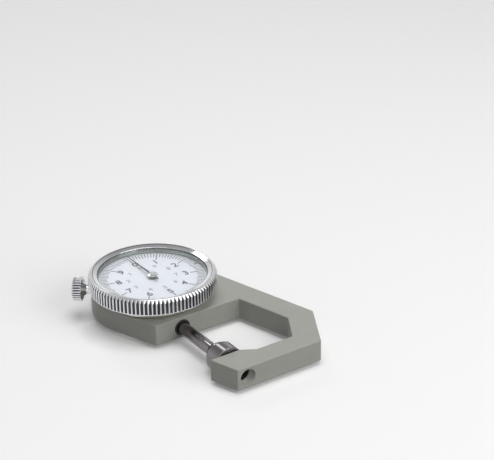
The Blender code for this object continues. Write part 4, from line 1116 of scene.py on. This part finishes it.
@dataclass
class Bezel:
    """The fluted bezel: a thin crest, an inner slope down to the crystal, flutes and a foot."""

    finishes: Finishes
    flutes: int = 98
    flute_depth: float = 0.0005
    crest_width: float = 0.0003
    shoulder: float = 0.00045
    shoulder_drop: float = 0.00065
    rib_top: float = 0.00012
    rib_tip: float = 0.0009
    rib_lean: float = 0.00075
    rib_crest: float = 0.0002
    crest_share: float = 0.42
    flank_depth: float = 0.00036
    foot: float = 0.0003
    foot_proud: float = 0.00015
    bore_in: float = 0.0020
    seat_in: float = 0.0025
    ledge_in: float = 0.0041
    ledge_thickness: float = 0.0005
    dial_gap: float = 0.0002
    lip_in: float = 0.0029
    lip_edge: float = 0.0001
    lip_thickness: float = 0.00035
    lip_drop: float = 0.0003
    # The band painted dark inside the crest: a painted dark reflection line on the inner slope.
    seam_in: float = 0.0002
    seam_width: float = 0.0002
    skin: float = 0.00002

    def build(self) -> None:
        """Turn the rim, stand the flutes' crests round it and lay the painted shade in the flutes."""
        low, high, reach = disc_box("bezel")
        root = reach - self.flute_depth
        place_piece(
            "fluted_bezel",
            joined([self.ring(low, high, reach), self.crests(low, high, root)]),
            self.finishes.chrome,
            "dial_bezel",
            ["bezel"],
        )
        # Roots, shoulder points, flanks and the line inside the crest are painted dark: painted shade
        # and painted dark reflection.
        shade_pieces = joined([*self.lining(low, high, root), self.flanks(low, high, root)])
        place_piece("flute_shade_paint", shade_pieces, self.finishes.grooves, "dial_bezel")

    def lining(self, low: float, high: float, root: float) -> list[bpy.types.Mesh]:
        """Turn the thin skins painted dark on the bezel: painted shade and dark reflection in the roots
        and up the shoulder, and a painted dark reflection line inside the crest.

        Args:
            low: the bezel's lowest height.
            high: its highest height.
            root: the flutes' inner radius.

        Returns:
            The thin rings.
        """
        knee = (root, high - self.shoulder_drop)
        climb = 1 - self.rib_top / self.shoulder_drop
        edge = (root - self.shoulder * climb, high - self.rib_top)
        inside = Vector((root - self.shoulder - self.crest_width, high))
        lip_height = high - self.lip_drop - self.lip_thickness + self.lip_edge
        lip = Vector((root + self.flute_depth - self.lip_in, lip_height))
        way = (lip - inside).normalized()
        # A thin band painted dark on the inner slope: the painted reflection line.
        reflection_start = inside + way * self.seam_in
        return [
            band((root, low + self.foot), knee, self.skin),
            band(knee, edge, self.skin),
            band(tuple(reflection_start), tuple(reflection_start + way * self.seam_width), self.skin),
        ]

    def ring(self, low: float, high: float, reach: float) -> bpy.types.Mesh:
        """Turn the bezel's ring.

        Args:
            low: its lowest height.
            high: its highest height.
            reach: the flutes' outer radius.

        Returns:
            The ring's mesh.
        """
        root = reach - self.flute_depth
        crest = root - self.shoulder
        bore = reach - self.bore_in
        lip = reach - self.lip_in
        lip_top = high - self.lip_drop
        lip_bottom = lip_top - self.lip_thickness
        seat = reach - self.seat_in
        ledge = reach - self.ledge_in
        ledge_top = disc_box("dial_plate")[0] - self.dial_gap
        ledge_bottom = ledge_top - self.ledge_thickness
        profile = [
            (crest - self.crest_width, high),
            (crest, high),
            (root, high - self.shoulder_drop),
            (root, low + self.foot),
            (root + self.foot_proud, low + self.foot),
            (root + self.foot_proud, low),
            (bore, low),
            (bore, ledge_bottom),
            (ledge, ledge_bottom),
            (ledge, ledge_top),
            (seat, ledge_top),
            (seat, lip_bottom),
            (lip, lip_bottom),
            (lip, lip_bottom + self.lip_edge),
        ]
        radii = {0: 0.0001, 1: 0.00014, 2: 0.0001, 4: 0.00008, 5: 0.0001, 13: 0.00006}
        return turned_mesh(rounded(profile, radii, 5), 256)

    def crests(self, low: float, high: float, root: float) -> bpy.types.Mesh:
        """Stand the bright rounded crests round the ring, flared to meet under its crest.

        Args:
            low: the bezel's lowest height.
            high: its highest height.
            root: the flutes' inner radius.

        Returns:
            The crests' mesh.
        """
        return grown(
            Pattern.RIBS,
            {
                "Count": self.flutes,
                "Ring Radius": root,
                "Sides": 12,
                "Half Width": math.pi * root / self.flutes * self.crest_share,
                "Half Depth": self.rib_crest,
                "Out": self.flute_depth - self.rib_crest,
                "Low": low + self.foot,
                "High": high - self.rib_top,
                "Tip": self.rib_tip,
                "Flare": 1 / self.crest_share - 1,
                "Lean": self.rib_lean,
                "Material": self.finishes.chrome,
            },
        )

    def flanks(self, low: float, high: float, root: float) -> bpy.types.Mesh:
        """Stand the flanks of the flutes under their crests, painted dark as the flutes' shade and dark
        reflection.

        Args:
            low: the bezel's lowest height.
            high: its highest height.
            root: the flutes' inner radius.

        Returns:
            The flanks' mesh.
        """
        return grown(
            Pattern.RIBS,
            {
                "Count": self.flutes,
                "Ring Radius": root,
                "Sides": 4,
                "Half Width": math.pi * root / self.flutes,
                "Half Depth": self.flank_depth,
                "Out": 0.0,
                "Low": low + self.foot,
                "High": high - self.rib_top,
                "Tip": self.rib_tip,
                "Flare": 0.0,
                "Lean": self.rib_lean,
                "Material": self.finishes.grooves,
            },
        )


@dataclass
class Dial:
    """The printed dial, the ring above it and the crystal."""

    finishes: Finishes
    divisions: int = 100
    tick_end: float = 0.0170
    short: float = 0.0025
    medium: float = 0.0030
    long: float = 0.0046
    tick_width: float = 0.00026
    long_width: float = 0.00032
    film: float = 0.00004
    boldness: float = 0.00007
    figure_ring: float = 0.0110
    figure_height: float = 0.0026
    second_ring: float = 0.0079
    second_height: float = 0.0017
    dot_radius: float = 0.00042
    dot_in: float = 0.0004
    dot_aside: float = 0.0005
    digit_share: float = 0.69
    hole: float = 0.0013
    ring_width: float = 0.0008
    ring_slope: float = 0.0002
    edge: float = 0.0001

    def build(self) -> None:
        """Dress the dial, print it, and make the ring and the crystal."""
        self.build_plate()
        self.print_ticks()
        self.print_figures()
        self.build_ring()
        self.build_crystal()

    def build_plate(self) -> None:
        """Turn the dial plate."""
        low, high, radius = disc_box("dial_plate")
        outline = [(radius, high), (radius, low), (self.hole, low), (self.hole, high)]
        profile = rounded(outline, {0: self.edge})
        place_piece(
            "dial_face",
            turned_mesh(profile, 192),
            self.finishes.dial,
            "dial_bezel",
            ["dial_plate"],
        )

    def print_ticks(self) -> None:
        """Print the divisions and the index dot."""
        top = disc_box("dial_plate")[1]
        rows = (
            (self.divisions, self.short, self.tick_width),
            (self.divisions // 5, self.medium, self.tick_width),
            (self.divisions // 10, self.long, self.long_width),
        )
        meshes = []
        for layer, (count, length, width) in enumerate(rows):
            values = {
                "Count": count,
                "Ring Radius": self.tick_end,
                "Length": length,
                "Width": width,
                "Film": self.film,
                "Height": top + layer * self.film / 6,
                "Material": self.finishes.ink,
            }
            meshes.append(grown(Pattern.TICKS, values))
        dot = turned_mesh(
            [
                (0, top + self.film),
                (self.dot_radius, top + self.film / 2),
                (self.dot_radius, top - self.film),
                (0, top - self.film),
            ],
            24,
        )
        dot.transform(Matrix.Translation((self.tick_end - self.dot_in, self.dot_aside, 0)))
        meshes.append(dot)
        place_piece(
            "dial_divisions",
            joined(meshes),
            self.finishes.ink,
            "dial_bezel",
        )

    def figure(self, text: str, height: float, degrees: float, ring: float) -> bpy.types.Mesh:
        """Print one upright figure on the dial.

        Args:
            text: the digit.
            height: its height.
            degrees: its angle, clockwise from twelve o'clock.
            ring: its distance from the axis.

        Returns:
            The figure's mesh, in place.
        """
        curve = bpy.data.curves.new(f"figure_{text}", "FONT")
        curve.body = text
        curve.size = height / self.digit_share
        curve.align_x = "CENTER"
        curve.align_y = "CENTER"
        curve.extrude = self.film
        curve.resolution_u = 4
        curve.offset = self.boldness
        piece = bpy.data.objects.new(curve.name, curve)
        bpy.context.scene.collection.objects.link(piece)
        mesh = baked(piece)
        close_up(mesh)
        angle = math.radians(90 - degrees)
        place = (ring * math.cos(angle), ring * math.sin(angle), disc_box("dial_plate")[1])
        mesh.transform(Matrix.Translation(place))
        return mesh

    def print_figures(self) -> None:
        """Print the figures clockwise, and the paler row that counts the other way."""
        outer, inner = [], []
        for index in range(10):
            degrees = 36 * index
            outer.append(self.figure(str(index), self.figure_height, degrees, self.figure_ring))
            back = str((10 - index) % 10)
            inner.append(self.figure(back, self.second_height, degrees, self.second_ring))
        place_piece(
            "dial_figures",
            joined(outer),
            self.finishes.ink,
            "dial_bezel",
        )
        place_piece(
            "second_dial_figures",
            joined(inner),
            self.finishes.pale_ink,
            "dial_bezel",
        )

    def build_ring(self) -> None:
        """Turn the polished ring between the dial and the crystal."""
        low, high, radius = disc_box("crystal_ring")
        inner = radius - self.ring_width
        profile = rounded(
            [(radius, high), (radius, low), (inner, low), (inner + self.ring_slope, high)],
            {2: self.edge, 3: self.edge},
            2,
        )
        # The ring's dark greenish finish is painted reflection and shade of the bezel's wall.
        place_piece(
            "polished_ring",
            turned_mesh(profile, 192),
            self.finishes.ring,
            "dial_bezel",
            ["crystal_ring"],
        )

    def build_crystal(self) -> None:
        """Turn the clear crystal."""
        low, high, radius = disc_box("crystal")
        profile = rounded([(0, high), (radius, high), (radius, low), (0, low)], {1: self.edge})
        place_piece(
            "clear_crystal",
            turned_mesh(profile, 192),
            self.finishes.acrylic,
            "dial_bezel",
            ["crystal"],
        )


@dataclass
class Pointer:
    """The thin pointer on its hub, and the bright cap."""

    finishes: Finishes
    length: float = 0.0160
    tail: float = 0.0035
    root_width: float = 0.0008
    tip_width: float = 0.00022
    thickness: float = 0.00015
    hub_edge: float = 0.0001
    cap_shoulder: float = 0.6
    cap_fall: float = 0.1
    cap_rim: float = 0.4
    cap_rounding: float = 0.0002
    cap_edge: float = 0.00006

    def build(self) -> None:
        """Make the pointer and its cap."""
        low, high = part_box("pointer")
        hub = (high.x - low.x) / 2
        plane = high.z - self.thickness
        column = turned_mesh(
            rounded([(0, plane), (hub, plane), (hub, low.z), (0, low.z)], {1: self.hub_edge}), 64
        )
        work = bmesh.new()
        root, tip = self.root_width / 2, self.tip_width / 2
        outline = [(-tip, self.length), (-root, 0), (-tip * 2, -self.tail)]
        outline += [(tip * 2, -self.tail), (root, 0), (tip, self.length)]
        face = work.faces.new([work.verts.new((x, y, plane)) for x, y in outline])
        raised = bmesh.ops.extrude_face_region(work, geom=[face])["geom"]
        points = [item for item in raised if isinstance(item, bmesh.types.BMVert)]
        bmesh.ops.translate(work, verts=points, vec=(0, 0, self.thickness))
        bmesh.ops.recalc_face_normals(work, faces=work.faces)
        hand = bpy.data.meshes.new("hand")
        work.to_mesh(hand)
        work.free()
        place_piece(
            "pointer_hand",
            joined([column, hand]),
            self.finishes.black,
            "pointer_arbor",
            ["pointer"],
        )
        self.build_cap()

    def build_cap(self) -> None:
        """Turn the domed cap on the hub."""
        low, high, radius = disc_box("hub_cap")
        rise = high - low
        profile = rounded(
            [
                (0, high),
                (radius * self.cap_shoulder, high - rise * self.cap_fall),
                (radius, low + rise * self.cap_rim),
                (radius, low),
                (0, low),
            ],
            {1: self.cap_rounding, 2: self.cap_edge},
            4,
        )
        place_piece(
            "bright_hub_cap",
            turned_mesh(profile, 64),
            self.finishes.chrome,
            "pointer_arbor",
            ["hub_cap"],
        )


@dataclass
class Clamp:
    """The knurled screw that locks the bezel."""

    finishes: Finishes
    swing_degrees: float = 142
    ribs: int = 28
    radius: float = 0.0040
    knob_at: float = 0.0226
    knob_length: float = 0.0035
    cone_radius: float = 0.0024
    cone_length: float = 0.0011
    stem_radius: float = 0.0015
    thread_radius: float = 0.0011
    thread_at: float = 0.0180
    tip_at: float = 0.0141
    cone_rounding: float = 0.0002
    thread_edge: float = 0.0001

    def build(self) -> None:
        """Make the knob and its stem on the clamp's axis."""
        low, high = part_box("clamp_screw")
        knob = Knob(self.radius, self.ribs, self.knob_at, self.knob_at + self.knob_length)
        overlap = self.knob_at + self.knob_length / 2
        stem = turned_mesh(
            rounded(
                [
                    (0, overlap),
                    (self.cone_radius, overlap),
                    (self.cone_radius, self.knob_at),
                    (self.stem_radius, self.knob_at - self.cone_length),
                    (self.stem_radius, self.thread_at),
                    (self.thread_radius, self.thread_at),
                    (self.thread_radius, self.tip_at),
                    (0, self.tip_at),
                ],
                {3: self.cone_rounding, 4: self.thread_edge},
                3,
            ),
            64,
        )
        swing = Matrix.Rotation(math.radians(self.swing_degrees), 4, "Z")
        tilt = Matrix.Rotation(math.radians(90), 4, "Y")
        stand = Matrix.Translation((0, 0, (low.z + high.z) / 2)) @ swing @ tilt
        knob.place(
            "knurled_clamp_screw", self.finishes, stand, "bezel_clamp", "clamp_screw", stem
        )


@dataclass
class Back:
    """The cover on the gauge's back, with its screws."""

    finishes: Finishes
    head_height: float = 0.0007
    head_edge: float = 0.00015
    slot_width: float = 0.0004
    slot_depth: float = 0.0003

    def build(self) -> None:
        """Dress the cover and set its screws."""
        place_piece(
            "turned_back_cover",
            smooth_copy("back_cover"),
            self.finishes.nickel,
            "gauge_frame",
            ["back_cover"],
        )
        names = [f"cover_screw_{index}" for index in (1, 2, 3)]
        low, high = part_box(names[0])
        centre = (low + high) / 2
        heads = grown(
            Pattern.SCREWS,
            {
                "Count": len(names),
                "Ring Radius": math.hypot(centre.x, centre.y),
                "Head Radius": (high.x - low.x) / 2,
                "Head Height": self.head_height,
                "Edge": self.head_edge,
                "Slot Width": self.slot_width,
                "Slot Depth": self.slot_depth,
                "Low": low.z,
                "Start": math.atan2(centre.y, centre.x),
                "Material": self.finishes.ground,
            },
        )
        place_piece(
            "cover_screws", heads, self.finishes.ground, "gauge_frame", names
        )


@dataclass
class CaseAndWorks:
    """The dial case and every node that keeps its own shape."""

    finishes: Finishes

    def build(self) -> None:
        """Dress the neck under the bezel and repaint the nodes of the works."""
        dressed = (
            ("turned_dial_case", "dial_case", self.finishes.nickel, "nickel"),
            ("upper_bush_ring", "upper_bush", self.finishes.brass, "brass"),
        )
        for name, node, metal, slot in dressed:
            place_piece(name, smooth_copy(node), metal, "gauge_frame", [node])
        self.repaint()

    def repaint(self) -> None:
        """Give every node that is still shown the finish of its material slot."""
        by_slot = {
            "grey_enamel": self.finishes.enamel,
            "chrome": self.finishes.chrome,
            "ground_steel": self.finishes.ground,
            "dark_steel": self.finishes.black,
            "brass": self.finishes.brass,
            "nickel": self.finishes.nickel,
            "dial_white": self.finishes.dial,
            "blackened_steel": self.finishes.black,
            "clear_acrylic": self.finishes.acrylic,
        }
        for entry in RECORD["subparts"]:
            node = NODES[entry["node"]]
            node.data.materials.clear()
            node.data.materials.append(by_slot[entry["material_slot"]])
        LOG.info("nodes repainted: %d", len(RECORD["subparts"]))


@dataclass
class Studio:
    """The pale floor, the soft lights and the camera."""

    lens: float = 112.96
    place: tuple[float, float, float] = (-0.22024, -0.38226, 0.24697)
    elevation: float = 26.056
    azimuth: float = 33.908
    roll: float = -0.756
    floor_size: float = 6.0
    floor_glow: float = 0.12
    horizon_rise: float = 0.25
    ceiling_rise: float = 0.75
    ceiling: float = 0.40
    front_share: float = -0.4
    fill: float = 0.30
    floor_drop: float = 0.00002
    aim: tuple[float, float, float] = (0.0, -0.015, 0.0)

    def build(self) -> None:
        """Set up the floor, the world, the lamps and the camera."""
        self.build_floor()
        self.build_world()
        self.add_lamp("overhead_panel", (0.02, -0.10, 0.80), 0.45, 2.5)
        self.add_lamp("back_panel", (0.128, 0.627, 0.560), 0.16, 0.4)
        self.add_lamp("front_panel", (0.25, -0.75, 0.45), 0.60, 2.9)
        self.build_camera()

    def build_floor(self) -> None:
        """Lay the floor: white to the eye, with the gauge's shadow kept."""
        half = self.floor_size / 2
        mesh = bpy.data.meshes.new("floor")
        corners = [(-half, -half, 0), (half, -half, 0), (half, half, 0), (-half, half, 0)]
        mesh.from_pydata(corners, [], [(0, 1, 2, 3)])
        material, tree = blank_material("pale_studio_floor")
        path = add_node(tree, "ShaderNodeLightPath")
        bounced = path.outputs["Is Diffuse Ray"]
        glow = calc(tree, "MULTIPLY_ADD", bounced, -self.floor_glow, self.floor_glow)
        shader = add_node(
            tree,
            "ShaderNodeBsdfPrincipled",
            {
                "Base Color": blend_colours(tree, bounced, "#FFFFFF", "#808080"),
                "Roughness": 0.9,
                "Specular IOR Level": 0.1,
                "Emission Color": linear("#FFFFFF"),
                "Emission Strength": glow,
            },
        )
        add_node(tree, "ShaderNodeOutputMaterial", {"Surface": shader.outputs[0]})
        mesh.materials.append(material)
        floor = object_from("floor", mesh)
        floor.location.z = -self.floor_drop

    def build_world(self) -> None:
        """Surround the gauge: white at the horizon and in front, grey overhead, a weak fill."""
        world = bpy.data.worlds.new("studio")
        bpy.context.scene.world = world
        world.use_nodes = True
        tree = world.node_tree
        tree.nodes.clear()
        path = add_node(tree, "ShaderNodeLightPath")
        way = add_node(tree, "ShaderNodeTexCoord").outputs["Generated"]
        parts = add_node(tree, "ShaderNodeSeparateXYZ", {0: way})
        horizon = add_node(
            tree,
            "ShaderNodeMapRange",
            {
                0: parts.outputs["Z"],
                1: self.horizon_rise,
                2: self.ceiling_rise,
                3: 1.0,
                4: self.ceiling,
            },
        )
        front = add_node(
            tree,
            "ShaderNodeMapRange",
            {0: parts.outputs["Y"], 1: 0.0, 2: self.front_share, 3: 0.0, 4: 1.0},
        )
        seen = calc(tree, "MAXIMUM", horizon.outputs[0], front.outputs[0])
        lit = calc(tree, "MULTIPLY", seen, self.fill)
        strength = add_node(
            tree, "ShaderNodeMix", {0: path.outputs["Is Diffuse Ray"], 2: seen, 3: lit}
        )
        light = add_node(
            tree,
            "ShaderNodeBackground",
            {"Color": (1.0, 1.0, 1.0, 1.0), "Strength": strength.outputs[0]},
        )
        add_node(tree, "ShaderNodeOutputWorld", {"Surface": light.outputs[0]})

    def add_lamp(
        self, name: str, place: tuple[float, float, float], size: float, power: float
    ) -> None:
        """Hang a square soft lamp that faces the gauge.

        Args:
            name: the lamp's name.
            place: where it hangs.
            size: the length of its side.
            power: its power in watts.
        """
        lamp = bpy.data.lights.new(name, "AREA")
        lamp.size = size
        lamp.energy = power
        piece = bpy.data.objects.new(name, lamp)
        piece.location = place
        aim = Vector(self.aim) - Vector(place)
        piece.rotation_euler = aim.to_track_quat("-Z", "Y").to_euler()
        bpy.context.scene.collection.objects.link(piece)

    def build_camera(self) -> None:
        """Stand the camera where it sees the gauge at the picture's angle."""
        angles = (self.elevation, self.azimuth, self.roll)
        rise, turn, roll = (math.radians(angle) for angle in angles)
        level = math.cos(rise)
        forward = Vector((level * math.sin(turn), level * math.cos(turn), -math.sin(rise)))
        right = Vector((math.cos(turn), -math.sin(turn), 0))
        up = right.cross(forward)
        right_rolled = right * math.cos(roll) + up * math.sin(roll)
        up_rolled = up * math.cos(roll) - right * math.sin(roll)
        turned_to = Matrix((right_rolled, up_rolled, -forward)).transposed().to_4x4()
        data = bpy.data.cameras.new("camera")
        data.lens = self.lens
        data.clip_start = 0.01
        data.clip_end = 20.0
        camera = bpy.data.objects.new("camera", data)
        camera.matrix_world = Matrix.Translation(self.place) @ turned_to
        bpy.context.scene.collection.objects.link(camera)
        bpy.context.scene.camera = camera
        bpy.context.scene.view_settings.view_transform = "Standard"


ALONG_Y = Matrix.Rotation(math.radians(-90), 4, "X")
NODES: dict[str, bpy.types.Object] = {}
RECORD: dict = {}


def main() -> None:
    """Dress the gauge, piece by piece, and set up the studio."""
    logging.basicConfig(level=logging.INFO, format="%(message)s")
    for leftover in list(bpy.data.objects):
        bpy.data.objects.remove(leftover)
    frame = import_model()
    NODES.update(frame["nodes"])
    RECORD.update(frame["record"])
    finishes = Finishes()
    for part in (
        Casting(finishes),
        Spindle(finishes),
        Bezel(finishes),
        Dial(finishes),
        Pointer(finishes),
        Clamp(finishes),
        Back(finishes),
        CaseAndWorks(finishes),
        Studio(),
    ):
        part.build()


if __name__ == "__main__":
    main()
